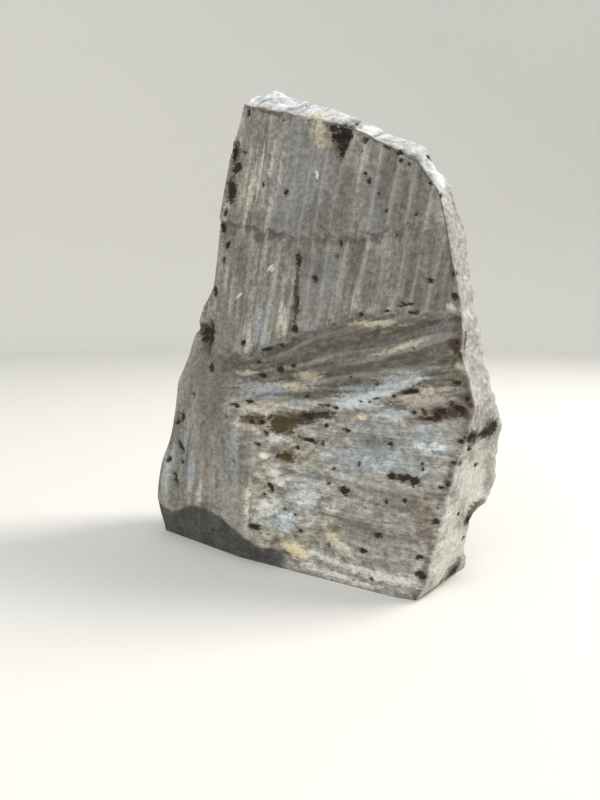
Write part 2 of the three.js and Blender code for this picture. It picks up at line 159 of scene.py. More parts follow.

# Ledges across the front. The surface stands `proud` of the line and falls back over `run` above it.
LEDGES = [
    {"line": [(-46, 152), (-20, 144), (0, 140), (24, 139), (44, 143)], "proud": 0.8, "run": 34,
     "scallop": 2.5},
    {"line": [(-44, 86), (-33, 88), (-15, 94), (-4, 99), (14, 103), (24, 106), (60, 107)], "proud": 1.4,
     "run": 30, "scallop": 1.5},
    {"line": [(12, 84), (28, 88), (54, 98)], "proud": 1.2, "run": 7, "scallop": 0},
    {"line": [(-6, 64), (16, 68), (50, 78)], "proud": 1.3, "run": 8, "scallop": 0},
    {"line": [(-40, 65), (-24, 64), (-2, 62)], "proud": 1.4, "run": 7, "scallop": 0},
    {"line": [(-30, 40), (0, 42), (30, 38), (56, 42)], "proud": 0.8, "run": 10, "scallop": 0},
]

# Ovals of the front: x and z of the middle, half width, half height, and depth or height.
HOLLOWS = [
    (12.5, 180, 6, 7.5, 2.8),  # iron-stained hollow under the top edge
    (-1, 184, 6, 7, 1.4),  # chip beside it
    (-53, 100, 5, 4, 2.6),  # notch in the left edge
    (-49, 93, 3, 5, 1.6),
    (53, 70, 10, 5, 1.8),  # stained hollow at the right edge
    (-14, 60, 6, 5, 1.6),  # ochre hollow
    (37, 44.5, 7, 2.8, 1.8),  # slot
    (59, 106, 4, 4, 1.5),
    (-24, 14, 4, 3, 1.2),
]
LUMPS = [(-6, 12, 7, 5, 1.4), (10, 20, 10, 6, 0.9), (-14, 34, 9, 9, 0.8), (28, 62, 9, 6, 0.8)]

# Flat breaks that took off the block's corners: a point of each plane, and the way it faces.
SPALLS = [
    ((13, 47, 88), (0.35, 0.9, 0.18)),
    ((15, 49, 40), (0.62, 0.78, -0.1)),
    ((-44, 55, 60), (-0.35, 0.92, -0.12)),
    ((-36, 46, 150), (-0.5, 0.82, 0.18)),
    ((56, 2, 50), (0.95, 0.3, 0.12)),
    ((48, 3, 112), (0.85, 0.35, 0.08)),
    ((-60, 46, 20), (-0.75, 0.5, -0.3)),
    ((-50, 45, 100), (-0.9, 0.3, 0.15)),
    ((28, 26, 140), (0.55, 0.7, 0.28)),
]

# Broken hollows of the other sides, shells of a sphere: the middle, the radius and the depth.
SCARS = [
    ((40, 28, 120), 34, 4), ((36, 34, 60), 40, 4.5), ((-18, 58, 95), 42, 5), ((-20, 58, 30), 34, 4),
    ((-8, 46, 160), 30, 4), ((30, 30, 12), 24, 3), ((-60, 48, 52), 26, 3), ((-46, 40, 120), 24, 2.5),
    ((-30, 32, 178), 18, 2), ((68, -8, 60), 22, 3), ((55, -16, 128), 20, 2.5), ((73, -31, 17), 13, 4.5),
    ((66, -12, 26), 15, 2), ((0, 18, 196), 20, 3), ((34, -8, 178), 16, 2.5),
]

# Noises on planes of the lattice, each as its height in mm, its cell's width, its plane, its cell's height.
GOUGE_WANDER, FAN_WANDER = [(0.3, 9, 0.5, 40)], [(0.35, 16, 2.5, 16)]  # in widths of a cut
OVAL_UNEVEN, LUMPY_UNEVEN = [(0.25, 4, 4.5, 4)], [(0.15, 6, 1.5, 6)]  # in shares of an oval
ROUGH_HALF = [(1.4, 10, 8.5, 7), (0.6, 14, 9.5, 3.4)]
PANEL_FLUTES, PANEL_LINES = [(0.3, 5, 6.5, 25)], [(0.2, 2.2, 7.5, 18)]
CUT_LINES, CUT_GRAIN = [(0.22, 1.7, 3.5, 22)], [(0.12, 3, 3.6, 3)]
SLANT_LINES, SLANT_GRAIN = [(0.3, 1.8, 4.5, 16)], [(0.12, 3, 4.6, 2.4)]
THIN_BEDS = [(0.36, 11, 5.5, 2), (0.22, 4, 5.6, 2.6)]
SMALL_LUMPS = [(1.0, 5.5, 5.7, 4), (0.4, 2.8, 5.8, 2.3)]
MARK_SHIFTS = [(0.7, 1.9, 11.5, 1.9)], [(0.7, 1.9, 12.5, 1.9)]  # of the marks' outlines, in x and z
SEAM_PATCHES = [(1, 9, 14.5, 9)]

# Noises in the round, each as its height in mm, and the size of its cell along x, y and z.
WAVES = [(1.3, (27, 27, 27)), (0.6, (12, 12, 12))]  # broad waviness of every side
SCAR_UNEVEN = [(0.18, (11, 11, 11))]  # in shares of a scar
BROKEN_COARSE = [(1, (10, 10, 8))]
BROKEN_PLATES = [(2.6, (24, 24, 11)), (0.5, (5, 5, 3))]  # in plates
BROKEN_FINE = [(0.3, (5.5, 5.5, 4)), (0.2, (3, 3, 2.6)), (0.14, (1.9, 1.9, 1.9))]
CHIPS = [(1, (5, 5, 5))]

# -------- Fine work that the solid leaves out --------

# Chips on the arrises: their depth, how far in they reach, and what is added to their noise, so that more
# than half of an arris is chipped.
CHIP_DEPTH, CHIP_REACH, CHIP_MORE = 1.1, 2.4, 0.1
SHARP_ARRISES = (4, 5)
ARRIS_SPAN, SIDE_SPAN, BEVEL_SPAN = 22, 190, 12  # mm to the next arris, up the sides, and on the top's edge
RIM_REACH, RIM_INSET = 2.2, 0.09  # of the dirt on the front's rim, in mm, and its place inside, in arrises

# The painted shadow, with some dirt, under the ledges where the gouge cuts stop: by how many mm one cut stops
# higher or lower than the next, how far it spreads and how far below the line it is, the share of it that is
# everywhere, and the noise for the rest.
SEAM_RAGGED, SEAM_REACH, SEAM_DROP, SEAM_LEAST, SEAM_GROWS = 1.6, 4, 1.2, 0.45, (-0.2, 0.5)

STROKE_TONE, THIRD_TONE = 0.28, 0.14  # how far the tone of a gouge cut, and of its thirds, is from the middle
PIT_DEPTH, PIT_EDGE = 0.9, (0.2, 0.9)  # mm, and the values of their field over which the pits get deeper
UNFOLD_ROUNDS, FOLDED = 40, 0.1  # how often folds are smoothed, and the cosine below which a cell is folded

# The plates that broke off the other sides: their thickness, the part of a plate over which it ends, and how
# much of the way to the mean of the noise each one tilts back.
PLATE_HEIGHT, PLATE_STEP, PLATE_BACK = 1.5, (0.4, 0.6), 0.9

# The lumpy part of the lower half: x and z of its middle, half width and half height, and where it ends, in
# shares of those.
LUMPY, LUMPY_EDGE = (-9, 32, 22, 34), (0.75, 1.1)

# How much the facet lacks of the broken sides' fine relief and of their colours, the chamfer of the drifts,
# and the calm patches of the scores.
FACET_PLAIN, FACET_CLEAN, CHAMFER_CLEAN, CALM_CLEAN = 0.75, 0.85, 0.8, 0.85
CALM_EDGE = (0.05, 0.5)
HOLLOW_TONE, HOLLOW_LESS = 0.6, 0.3  # tone for each mm of depth, and how much less it is on the broken sides
HOLLOW_REACH = 4  # grid points

# Where marks may lie: how far to the front the surface faces, and on the bevel of the top, how far from the
# middle of the front, and from which place on, in arrises.
MARKED_FACING, MARKED_MIDDLE, MARKED_END, MARKED_START = (0.05, 0.25), 2, (2.3, 2.6), (8.5, 8.8)
MARK_FADE = 1.5  # times its outline at which a mark ends
MARK_LEAST, MARK_GROWS = 0.72, 0.12  # a mark's strength, and what its half width times its half height adds

# Marks of the front, each an oval as x and z of its middle, half width, half height, and any tilt in degrees.
# PITS are the small open pits and cracks that iron has stained nearly black.
PITS = [
    # beside and under the top edge
    (7, 186, 2.6, 2.4), (11.5, 185.6, 3.4, 2.8), (15.4, 185.2, 2.2, 2.2), (9.4, 181.8, 2.8, 2.8),
    (13, 181.4, 2.6, 2.4), (10.4, 177.6, 2.6, 2.8), (11, 174, 1.7, 2.4), (20.5, 178, 1, 1.6),
    (18, 187.5, 1.3, 0.8), (29, 175, 2, 0.8, -20), (33, 172, 1.6, 1.4), (33, 168, 1, 1.2),
    (36, 166.5, 0.8, 1.2), (46, 169.5, 2.4, 1.5, -35), (49, 153.5, 1.2, 1.2), (44, 158, 1.2, 1.2),
    (-29.5, 197.5, 1, 1.8), (-14, 191.5, 0.9, 1.1),
    # the left edge
    (-37, 180.5, 1.8, 4.2), (-35.5, 174, 2.6, 2.8), (-32, 180.5, 1.6, 0.9), (-38, 164.5, 2.4, 6),
    (-41, 154.5, 0.9, 1.9), (-43, 147.5, 1.2, 2.8), (-40.5, 139.5, 1.2, 1.9), (-43, 132.5, 1.1, 1.9),
    (-48, 118, 1.1, 3.4), (-49, 98, 1.8, 7.5), (-52, 99, 4.4, 2.2), (-52.5, 95.5, 2.4, 2.6),
    (-48, 81.5, 1.2, 2.4), (-63, 57, 1.2, 2.5), (-66, 54, 2, 1.5), (-70, 35.5, 1.6, 2),
    (-65, 28, 1.2, 4.4, 25), (-46, 8.5, 0.8, 1.4), (-64, 43, 1, 4.8, 30), (-62.5, 36, 0.9, 1.6),
    (-36, 42, 0.9, 1), (-44, 29, 1, 0.9), (-52, 56, 0.9, 1.4), (-57, 68, 1, 1.6), (-40, 60, 0.8, 1.2),
    # among the upright cuts
    (-22.5, 165, 0.7, 1.8), (-12.5, 160.5, 1.1, 1.3), (19, 173.5, 0.7, 0.9), (20, 164.5, 0.7, 1.3),
    (21.5, 161.5, 1, 1.6), (25, 156, 0.7, 1.6), (28, 149, 0.9, 1.1), (39, 146.5, 0.9, 0.9),
    (-6.5, 131, 1.5, 3.8), (-7.5, 112, 0.5, 5), (-8.5, 101, 1.8, 2.2), (0.5, 122.5, 1, 1.9),
    (10.5, 137, 0.8, 2.3), (9, 132, 0.8, 1.5), (31.5, 139, 0.7, 1.3), (-32.5, 94, 1.2, 1.4),
    (44.5, 120.5, 1.9, 1.2), (53, 123, 1.5, 1.3), (52.5, 114.5, 1.3, 1.9), (36.5, 111.5, 3.2, 0.8),
    (29.5, 108.5, 2.4, 0.7), (39, 108.5, 1.8, 1), (20, 107, 1.2, 1.2),
    # in the slanting band
    (-14.5, 93.5, 2.2, 0.9), (-21.5, 91.5, 2.7, 0.9, 5), (53.5, 97, 0.9, 0.9), (55, 92.5, 1.1, 1.5),
    (39, 94, 1, 0.8), (-25.5, 85.5, 2.3, 1.1), (-15, 83, 2, 1.8), (-9, 85, 1.3, 1.3), (-23.5, 80, 2, 1.4),
    (15.5, 81, 1, 0.7), (25.5, 79.5, 0.9, 1.2), (53, 82, 2.3, 1), (37.5, 77, 3.9, 1.3, 12),
    (32, 74.5, 0.9, 0.9), (-3.5, 72, 1.5, 0.9),
    # the stained band across the middle of the lower half
    (-28.5, 68, 2.3, 1.1), (-35, 65.5, 3.6, 1.1), (-27, 59.5, 1.1, 1.1), (-23, 59.5, 1.8, 1.1),
    (-2, 64.4, 3.6, 1.5, 5), (-21.5, 55.5, 1.1, 1.3), (6.5, 69, 1.5, 0.9), (9.5, 68.5, 1.7, 0.9),
    (20, 71.5, 1.4, 0.6), (23.5, 72, 0.9, 0.7), (26.5, 73.5, 2, 0.6, 15), (4.5, 61, 1.1, 1.3),
    (13, 60, 1.7, 1), (38, 69.5, 1.3, 0.9), (41.5, 70.5, 1, 1), (56.5, 76.5, 1.5, 1.1), (51.5, 74, 1.1, 1.3),
    (54, 72, 2.3, 1.9), (48, 71, 1.9, 1.5), (46, 69, 1.5, 2.3), (43.5, 67.5, 1.9, 0.9),
    # the pitted lower half
    (-25, 50, 1.5, 1.3), (-16, 46.5, 1.3, 1.1), (-2.5, 54.5, 3.8, 0.9), (3, 53.5, 1.3, 0.9),
    (-7, 51, 1.7, 0.9), (30, 56.5, 1.3, 1), (8, 44, 1, 0.9), (18, 47.5, 1, 1), (40.5, 50.5, 1, 0.6),
    (41, 48.5, 0.9, 1.2), (-19, 33, 1.5, 2.6, 20), (-22, 29.5, 1.1, 0.9), (-13, 25, 0.9, 0.8),
    (-8.5, 23.5, 1.5, 0.9), (-24.5, 16, 3, 1.7), (6, 38, 1.3, 1.1), (12.5, 36, 2, 2), (30, 44.5, 1.6, 1.8),
    (34, 44.4, 2.8, 1.6), (38.5, 43.6, 3.2, 1.8), (24.5, 33, 1, 0.6), (28, 34.5, 1, 1), (34, 36, 1, 1),
    (-6, 17, 1.1, 1.1), (6, 14, 1.1, 1.1), (24.5, 21.5, 1.6, 1.2), (19.5, 14.5, 1.8, 0.9),
    (39.5, 16.5, 1.9, 0.9), (39.5, 10, 1.8, 1.7), (22, 4.5, 0.9, 0.6),
    # the right edge and the facet beyond it
    (69.5, 64, 2.6, 4.2), (65.5, 61.8, 4.2, 2.2, 10), (58.5, 61.6, 4, 1.9), (54.5, 60.5, 1.2, 1.3),
    (58, 57.5, 1.4, 1.1), (52, 52, 1.8, 1), (64, 48.5, 1.4, 1.2), (49.5, 44, 1.1, 1.5), (47.5, 43, 1.5, 0.8),
    # (61.5, 25.5) and (67.5, 26.5) are painted shade in the notch of the right edge
    (61.5, 25.5, 2.6, 2), (67.5, 26.5, 1.7, 1.5, 30), (55, 31, 1, 0.8), (48, 23, 1, 0.8),
    (58.5, 18.5, 1, 0.9), (45, 30.5, 1.1, 1.3), (57, 3, 2.8, 3), (50, 2.5, 0.9, 2),
]

# Brown to ochre iron stains round the pits.
STAINS = [
    (-16, 59, 4.5, 4.5), (-26, 61.5, 5, 1.6), (-13, 49, 6, 4), (-6.5, 63, 4.7, 2.6), (-12, 44, 3.4, 3),
    (53, 97, 2.7, 4.5), (55, 91.5, 1.9, 2.3), (-52.5, 98.5, 5, 7), (2, 66, 5, 1.7), (47.5, 70.5, 6, 3.4),
    (55.5, 72, 3.7, 3.4), (-65, 55, 2.5, 3.9), (-8.5, 111, 1.6, 9.5), (-39, 165, 2.8, 6.5),
    # (61.5, 26) is painted shade in the notch of the right edge
    (-36.5, 179, 2.3, 5.6), (10, 180, 6, 9.4), (60, 61.5, 5.3, 1.5), (61.5, 26, 3.6, 2.8),
    (52.5, 120.5, 1.5, 4.6), (41, 67, 3.9, 1.9), (-41.5, 144.5, 3.3, 4.8), (-11, 12.5, 3.4, 1.3),
    (12, 36, 2.8, 2.4), (8, 21, 3.3, 2.5), (36, 22, 5.3, 1.5), (41, 30.5, 4.5, 9.8), (-48, 19.5, 6.5, 1.4),
]

# Cream talc, left where the stone is freshly broken.
CREAM = [
    (-20.5, 64.5, 16, 1.9), (19, 65.5, 3.3, 1.2), (-18.5, 46.5, 5.2, 2.2), (-20, 40, 3.5, 2.6),
    (4.5, 21.5, 2.1, 2.5), (7.5, 17, 2, 2.8), (12, 13.5, 2.8, 2.4), (1.5, 69.5, 6, 1.1),
    (44, 75.5, 9.2, 1.9, 5), (52, 110, 2.7, 1.1, -30), (-20, 151, 1.2, 12, -9.5), (0, 193.5, 10, 2, 15),
    (-15.5, 168, 0.9, 20, -9.5), (-19, 176, 0.8, 14, -9.5), (-25, 168, 1, 20, -9.5),
    (-29, 165, 1.1, 18, -9.5), (-31, 80.5, 5.5, 1.2), (-35, 58, 3.2, 1.8), (-30.5, 96, 1.9, 8.4),
    (-13.5, 104, 2.4, 8), (-52.5, 23, 1.8, 5), (39.5, 76.5, 6.2, 4.7, 10),
]

# Chalky white talc on the freshest breaks. The marks low on the right facet are partly painted light, making
# it lighter towards its foot, and the thin line at x -28.2 is a painted highlight on the ridge above the
# foot.
CHALK_AND_LIGHT = [
    (7.5, 3, 16, 1.4, -5), (30, 6.5, 10, 2), (16, 7, 18, 1.6, -6), (53, 168, 5, 6), (63, 40, 6, 16),
    (50, 20, 6, 18), (58, 12, 6, 10), (47, 8, 4, 9), (57, 44, 5, 11), (-20, 24, 5, 3), (-14, 37, 4, 3),
    (-28.2, 25, 0.8, 11),
]

# Pale bluish patches of cleaner talc.
PALE = [
    (19.5, 76, 10.6, 2.5), (12.5, 70, 9, 2), (23, 74, 9.7, 1.6, 18), (33.5, 81.5, 9.5, 2.8, 15),
    (27.5, 48.5, 15, 4), (6.5, 50.5, 5.8, 2.9), (-23.5, 73.5, 15.4, 3.2), (-6, 68.5, 8.6, 1.7),
    (-6, 29.5, 11, 6), (-14.5, 20, 7.7, 4.3), (47, 56.5, 6.9, 3.8), (-18.5, 52.5, 5.3, 3.5), (-2, 38, 6, 5),
    (-23.5, 101, 3.2, 11), (12, 40.5, 5, 2.4), (44, 63.5, 5.4, 2.3), (-61, 45, 1.2, 13, -8),
    (-70, 32, 3, 11, -10), (-57, 31, 2, 9),
]

# Streaks and patches that are nearly white, and a little blue.
FROST = [
    (29, 76.8, 13, 2.4, 24), (17, 72, 10, 2.4, 6), (20, 70.5, 10, 2.2, 8), (32, 68, 8, 2, 6),
    (-12, 22, 5, 2.6), (-3, 31, 6, 3.4), (-17, 53.5, 4, 2), (44, 57, 5, 1.8),
]

# Darker grey patches, where chlorite is thick in the stone, and painted shadow under the scalloped ends of
# the upper gouge cuts and to the left of the ridge above the foot.
SLATE_AND_SHADOW = [
    (15.5, 84.5, 10, 3.3), (24, 57, 7.2, 3.6), (-34, 83.5, 9.3, 2.8), (-26, 149.5, 15, 4.4, -12),
    (6.5, 139.5, 13.6, 2.5, 5), (-38, 148, 4.7, 4.2), (39, 163, 1.6, 8.6), (44, 97.5, 10, 2.7, 10),
    (11, 94, 29.6, 5.5), (-10.5, 91, 17.8, 5, 5), (-19, 142.5, 9, 3.2, -5), (23.5, 121.5, 4.9, 12.3),
    (17, 130, 3.3, 11), (33, 145, 2.4, 10.4), (-34, 131.5, 5.6, 14), (-33, 110, 2.3, 12), (-31, 43, 3.2, 12),
    (21.5, 22, 9.5, 4), (48, 113, 6.2, 7.7), (47.5, 98, 6.9, 4.6), (37, 95.5, 8.7, 2, 18),
    (-27, 93, 5.5, 1.8), (31.5, 34, 7.8, 3.1), (-47, 78, 8.5, 19), (-61, 46.5, 2.4, 21),
    (12.5, 159, 4.2, 12.5), (33, 158, 12, 17, -8), (-9, 137, 5, 5.5, -20), (40, 124, 14, 15),
    (-42, 92, 6, 14), (-66, 46, 2.6, 12, 28), (-67.5, 50, 1.8, 12, -14), (-48, 63, 6, 12), (-43, 84, 6, 10),
    (-8, 198.5, 8, 0.9, 18), (-21, 203, 6, 1, 10), (28, 182, 10, 0.8, 26), (19, 189, 9, 3.2, 24),
    (6, 196, 5, 0.8, 22), (-49, 78, 9, 16), (5, 148, 12, 10), (0, 128, 8, 8), (-3, 138.5, 4, 3.5),
    (-38, 145, 5, 3),
]

# Smoother grey patches, where the gouge left no lines, and smooth blue-grey ones of the lower half.
CALM = [(-6, 160, 13, 20, -8), (3, 120, 8, 14, -8), (26, 150, 5, 12, -8), (-6, 184, 8, 9, -8)]
HAZE = [(26, 55, 13, 9, -6), (14, 47, 8, 5), (-36, 46, 3, 10), (40, 60, 6, 3, 8)]

# Tan crusts and streaks with clear outlines.
TAN = [
    (0.8, 190, 4, 1), (-2.2, 185, 1.5, 4, -15), (2.2, 180.3, 4, 1.4, -28), (1.6, 185.5, 2.4, 3),
    (34.5, 94, 10.6, 1.1, 21), (25, 103.4, 9.8, 1), (-2.5, 80.5, 6.5, 1.8), (-8, 76, 8, 1.4),
    (-28.8, 26, 0.8, 11), (3.2, 22.5, 1.4, 4.6, 30), (7.5, 17.5, 1.4, 4.6, 42), (13, 13, 1.2, 5, 50),
    (-20, 67.5, 15, 0.8), (-26, 56, 2.6, 1.3), (47, 79, 8, 1, 8), (10, 194.5, 10, 1.4, 22),
    (55, 88, 1.6, 2.6),
]

# Yellow-cream crystals.
HONEY = [(-8, 9.3, 6, 3.2, -22), (19, 65.3, 3.2, 0.9), (-18, 54.5, 1.6, 1.3), (-22, 45.5, 1.8, 1.4)]

# Olive-brown iron ochre, and umber stains that are darker.
OCHRE = [
    (-10, 62.6, 9.5, 2.4, 5), (-14, 60, 5.2, 4), (-5, 63.5, 6, 2, 8), (-26, 60, 5.5, 1.8),
    (-12.5, 46, 3.4, 2.2), (2.5, 66.5, 4, 1.2),
]
UMBER = [
    (11, 184.4, 5.4, 3.8), (11, 178, 2.8, 4.6), (48.5, 70.5, 7.5, 2.6, 14), (55.5, 73, 4, 2.8),
    (43, 67.5, 5, 1.3, 8), (37.5, 77.2, 5, 1.5, 12), (60, 61.8, 7, 3, 8), (68, 63, 4, 5), (2, 65, 7, 1.5, 6),
    (54, 97, 2.6, 5, -12), (-1.5, 54.6, 6, 1, -8), (-5.5, 64, 4.5, 1.3, 8), (-52.5, 99, 5, 5),
    (-51, 94, 4, 6.5), (-38, 165, 3, 7.5), (-36.4, 180, 2.6, 6), (-7.6, 116, 1.1, 17, -2),
    # (64, 27.5) is painted shade in the notch of the right edge
    (64, 27.5, 6, 3.4, 28), (4.5, 68.6, 3, 1), (57, 5, 6, 4.5, 30), (54, 52, 2, 1.6),
]

# Scratches, left light by something hard.
SCRATCHES = [
    (-19.4, 128, 0.6, 2.6, -50), (-18.2, 127, 0.5, 1.8, -50), (-35.4, 115.6, 0.6, 2.4, -45),
    (0.8, 167, 0.6, 2.4, 10), (-34, 116.6, 0.5, 1.6, -45),
]

MARKS = {
    "pits": PITS, "stains": STAINS, "cream": CREAM, "pale": PALE, "slate_and_shadow": SLATE_AND_SHADOW, "calm": CALM, "haze": HAZE,
    "frost": FROST, "chalk_and_light": CHALK_AND_LIGHT, "tan": TAN, "honey": HONEY, "ochre": OCHRE, "umber": UMBER,
    "scratches": SCRATCHES,
}

# The fields that the mesh carries for the material: where each zone and mark is, and the shape's own.
FIELDS = ["everywhere", "upright", "slanting", "rough", "lumpy", "panel", "facet", "top", "chamfer", "broken",
          *MARKS, "seam_shadows", "strokes", "scored", "rim", "bright", "cap", "outside_chamfer_shade", "hollow", "edge", "bearing",
          "distance"]

# -------- Noise --------


def smoothstep(value, low, high):
    """0 below low, 1 above high, and the cubic 3t^2 - 2t^3 between them."""
    part = np.clip((value - low) / (high - low), 0, 1)
    return part * part * (3 - 2 * part)


def lattice(i, j, k):
    """A repeatable number from -1 to 1 for each corner of a lattice of whole numbers, from 32-bit mixing."""
    i, j, k = (np.atleast_1d(part).astype(np.int64).astype(np.uint32) for part in (i, j, k))
    mixed = i * np.uint32(374761393) + j * np.uint32(668265263) + k * np.uint32(1442695041)
    mixed = (mixed ^ (mixed >> np.uint32(13))) * np.uint32(1274126177)
    return (mixed ^ (mixed >> np.uint32(16))) / 2147483648 - 1


def noise(x, y, z):
    """Value noise: the lattice's numbers, blended smoothly along x, then y, then z inside each cell."""
    low = [np.floor(part) for part in (x, y, z)]
    u, v, w = (smoothstep(part - floor, 0, 1) for part, floor in zip((x, y, z), low))
    i, j, k = low

    def edge(dj, dk):
        return lattice(i, j + dj, k + dk) * (1 - u) + lattice(i + 1, j + dj, k + dk) * u

    near = edge(0, 0) * (1 - v) + edge(1, 0) * v
    far = edge(0, 1) * (1 - v) + edge(1, 1) * v
    return near * (1 - w) + far * w


def ripples(noises, x, z):
    """The sum of noises on planes of the lattice at x, z, each stretched to its cell and its height."""
    return sum(height * noise(x / wide, plane, z / tall) for height, wide, plane, tall in noises)


def swells(noises, points):
    """The sum of noises in the round at the points, each stretched to its cell and its height."""
    return sum(height * noise(*np.moveaxis(points / np.array(cell), -1, 0)) for height, cell in noises)


# -------- The loft --------


def column_places(count_name):
    """The places round the block where a column of points stands: 0 at the first arris, 1 at the second."""
    return np.concatenate([
        number + np.arange(arris[count_name]) / arris[count_name] for number, arris in enumerate(ARRISES)
    ])


def course_shares(rows):
    """The shares of all courses: 0 to 1 up the sides, to 2 at the crest, and towards 3 across the top."""
    return np.concatenate([start + np.arange(count) / count for start, count in enumerate(rows)])


def arris_points(arris, shares):
    """An arris at each share: along its straight stretches up to 1, then straight on to its crest at 2."""
    rise = np.array(arris["rise"], float)
    height = np.minimum(shares, 1) * rise[-1, 2]
    line = np.stack([np.interp(height, rise[:, 2], rise[:, axis]) for axis in range(3)], -1)
    return line + np.clip(shares - 1, 0, 1)[:, None] * (np.array(arris["crest"]) - rise[-1])


def spalled(points, places, shares):
    """The back after its flat spalls: a point outside a spall's plane drops straight back to that plane."""
    round_back = smoothstep(places, *BACK_START) * (1 - smoothstep(places, *BACK_END))
    on_back = round_back * (1 - smoothstep(shares, *BACK_TOP))[:, None]
    for at, facing in SPALLS:
        normal = np.array(facing) / np.linalg.norm(facing)
        outside = np.maximum(0, (points - np.array(at)) @ normal)
        points = points - (on_back * outside)[..., None] * normal
    return points


def loft(places, shares):
    """Courses of points, each blended evenly between its arrises. The top's even slope closes inwards."""
    corners = np.stack([arris_points(arris, shares) for arris in ARRISES], 1)
    arris = np.floor(places).astype(int)
    part = (places - arris)[None, :, None]
    points = corners[:, arris] * (1 - part) + corners[:, (arris + 1) % len(ARRISES)] * part
    inward = np.clip(shares - 2, 0, 1)[:, None, None]
    middle = np.array(CAP_MIDDLE, float)
    points = points + inward * (middle - points)
    fall = (points[..., :2] - middle[:2]) @ np.array(CAP_FALL)
    points[..., 2] += smoothstep(inward[..., 0], *CAP_EDGE) * (middle[2] - fall - points[..., 2])
    return spalled(points, places, shares)


def blend_rows(values, known, wanted):
    """Values known at some positions of their first axis, blended evenly to the wanted positions."""
    upper = np.clip(np.searchsorted(known, wanted, side="right"), 1, len(known) - 1)
    share = ((wanted - known[upper - 1]) / (known[upper] - known[upper - 1])).reshape(-1, 1, 1)
    return values[upper - 1] * (1 - share) + values[upper] * share


def loft_normals(places, shares):
    """The loft's outward normals, found on the solid's own courses from each point's four neighbours, blended
    to the wanted places, and turned upwards on the top."""
    guide_places, guide_shares = column_places("guides"), course_shares(GUIDE_ROWS)
    points = loft(guide_places, guide_shares)
    along = np.roll(points, -1, 1) - np.roll(points, 1, 1)
    upwards = np.concatenate([points[1:], points[-1:]]) - np.concatenate([points[:1], points[:-1]])
    normals = np.cross(along, upwards)
    normals /= np.linalg.norm(normals, axis=-1, keepdims=True)
    on_top = smoothstep(guide_shares, *TURNED_UP)[:, None, None]
    normals = normals * (1 - on_top) + np.array((0, 0, 1)) * on_top
    normals = blend_rows(normals, guide_shares, shares)
    closed_places = np.append(guide_places, len(ARRISES))
    closed = np.concatenate([normals, normals[:, :1]], 1).swapaxes(0, 1)
    normals = blend_rows(closed, closed_places, places).swapaxes(0, 1)
    return normals / np.linalg.norm(normals, axis=-1, keepdims=True)


# -------- The relief --------


def line_height(line, x):
    """The height of a line of (x, z) points at x, level beyond its ends."""
    return np.interp(x, [point[0] for point in line], [point[1] for point in line])


def gouge_place(x, z):
    """Where x, z lies across the gouge cuts: its cut's number, and -1 to 1 from left crest to right."""
    across = (x - GOUGE_LEAN * z) / GOUGE_SPACING + ripples(GOUGE_WANDER, x, z)
    cut = np.floor(across)
    return cut, 2 * (across - cut) - 1


def gouge_cuts(x, z):
    """Gouge cuts: each is a parabola's trough between two sharp crests, no two equally deep."""
    cut, side = gouge_place(x, z)
    upper_course = z > line_height(LEDGES[0]["line"], x)
    bite = 1 + GOUGE_UNEVEN * np.where(upper_course, lattice(cut, 7, 1), lattice(cut, 7, 2))
    return GOUGE_DEPTH * bite * (side * side - 1)


def fan_place(x, z):
    """The bearing in degrees and the distance of x, z from the fan's centre."""
    dx, dz = x - FAN_CENTRE[0], z - FAN_CENTRE[1]
    return np.degrees(np.arctan2(dz, dx)), np.hypot(dx, dz)


def fan_cuts(x, z):
    """Slanting cuts: steps round the fan's centre, each rising slowly and then falling back to the next."""
    degrees, distance = fan_place(x, z)
    across = degrees / FAN_DEGREES + ripples(FAN_WANDER, x, z)
    share = across - np.floor(across)
    cut = np.minimum(share / FAN_RISE, (1 - share) / (1 - FAN_RISE))
    return FAN_DEPTH * smoothstep(distance, *FAN_DEEPENS) * cut


def ledge_place(ledge, x, z):
    """How far x, z is above a ledge's scalloped line, and 1 along its length but 0 beyond its ends."""
    line = ledge["line"]
    _, side = gouge_place(x, z)
    above = z - line_height(line, x) - ledge["scallop"] * side * side
    begun = smoothstep(x, line[0][0] - LEDGE_END, line[0][0] + LEDGE_END)
    ended = smoothstep(x, line[-1][0] - LEDGE_END, line[-1][0] + LEDGE_END)
    return above, begun * (1 - ended)


def ledge_height(ledge, x, z):
    """A ledge: nothing under its line, proud on it, and falling back evenly to nothing over its run."""
    above, along = ledge_place(ledge, x, z)
    fall = np.maximum(0, 1 - np.maximum(above, 0) / ledge["run"])
    return along * ledge["proud"] * fall * smoothstep(above, -LEDGE_EDGE, LEDGE_EDGE)


def seam_shadows(x, z):
    """Painted shadow, with some dirt, under the ledges: 1 just under the two lines where the gouge cuts stop,
    falling as a bell curve of SEAM_REACH mm to both sides. Each cut stops at a height of its own, and noise
    leaves only SEAM_LEAST of it in places."""
    cut, _ = gouge_place(x, z)
    places = [ledge_place(ledge, x, z) for ledge in LEDGES[:2]]
    seam = np.max([
        along * np.exp(-((above + SEAM_DROP + SEAM_RAGGED * lattice(cut, 5, 5)) / SEAM_REACH) ** 2)
        for above, along in places
    ], 0)
    return seam * (SEAM_LEAST + (1 - SEAM_LEAST) * smoothstep(ripples(SEAM_PATCHES, x, z), *SEAM_GROWS))


def strokes(x, z):
    """The tone of a gouge cut, 0 to 1: mostly the cut's own, and partly that of the third of it at x, z."""
    cut, side = gouge_place(x, z)
    course = np.where(z > line_height(LEDGES[0]["line"], x), 3, 4)
    third = 3 * cut + np.floor(1.5 * (side + 1))
    return 0.5 + STROKE_TONE * lattice(cut, 11, course) + THIRD_TONE * lattice(third, 13, course)


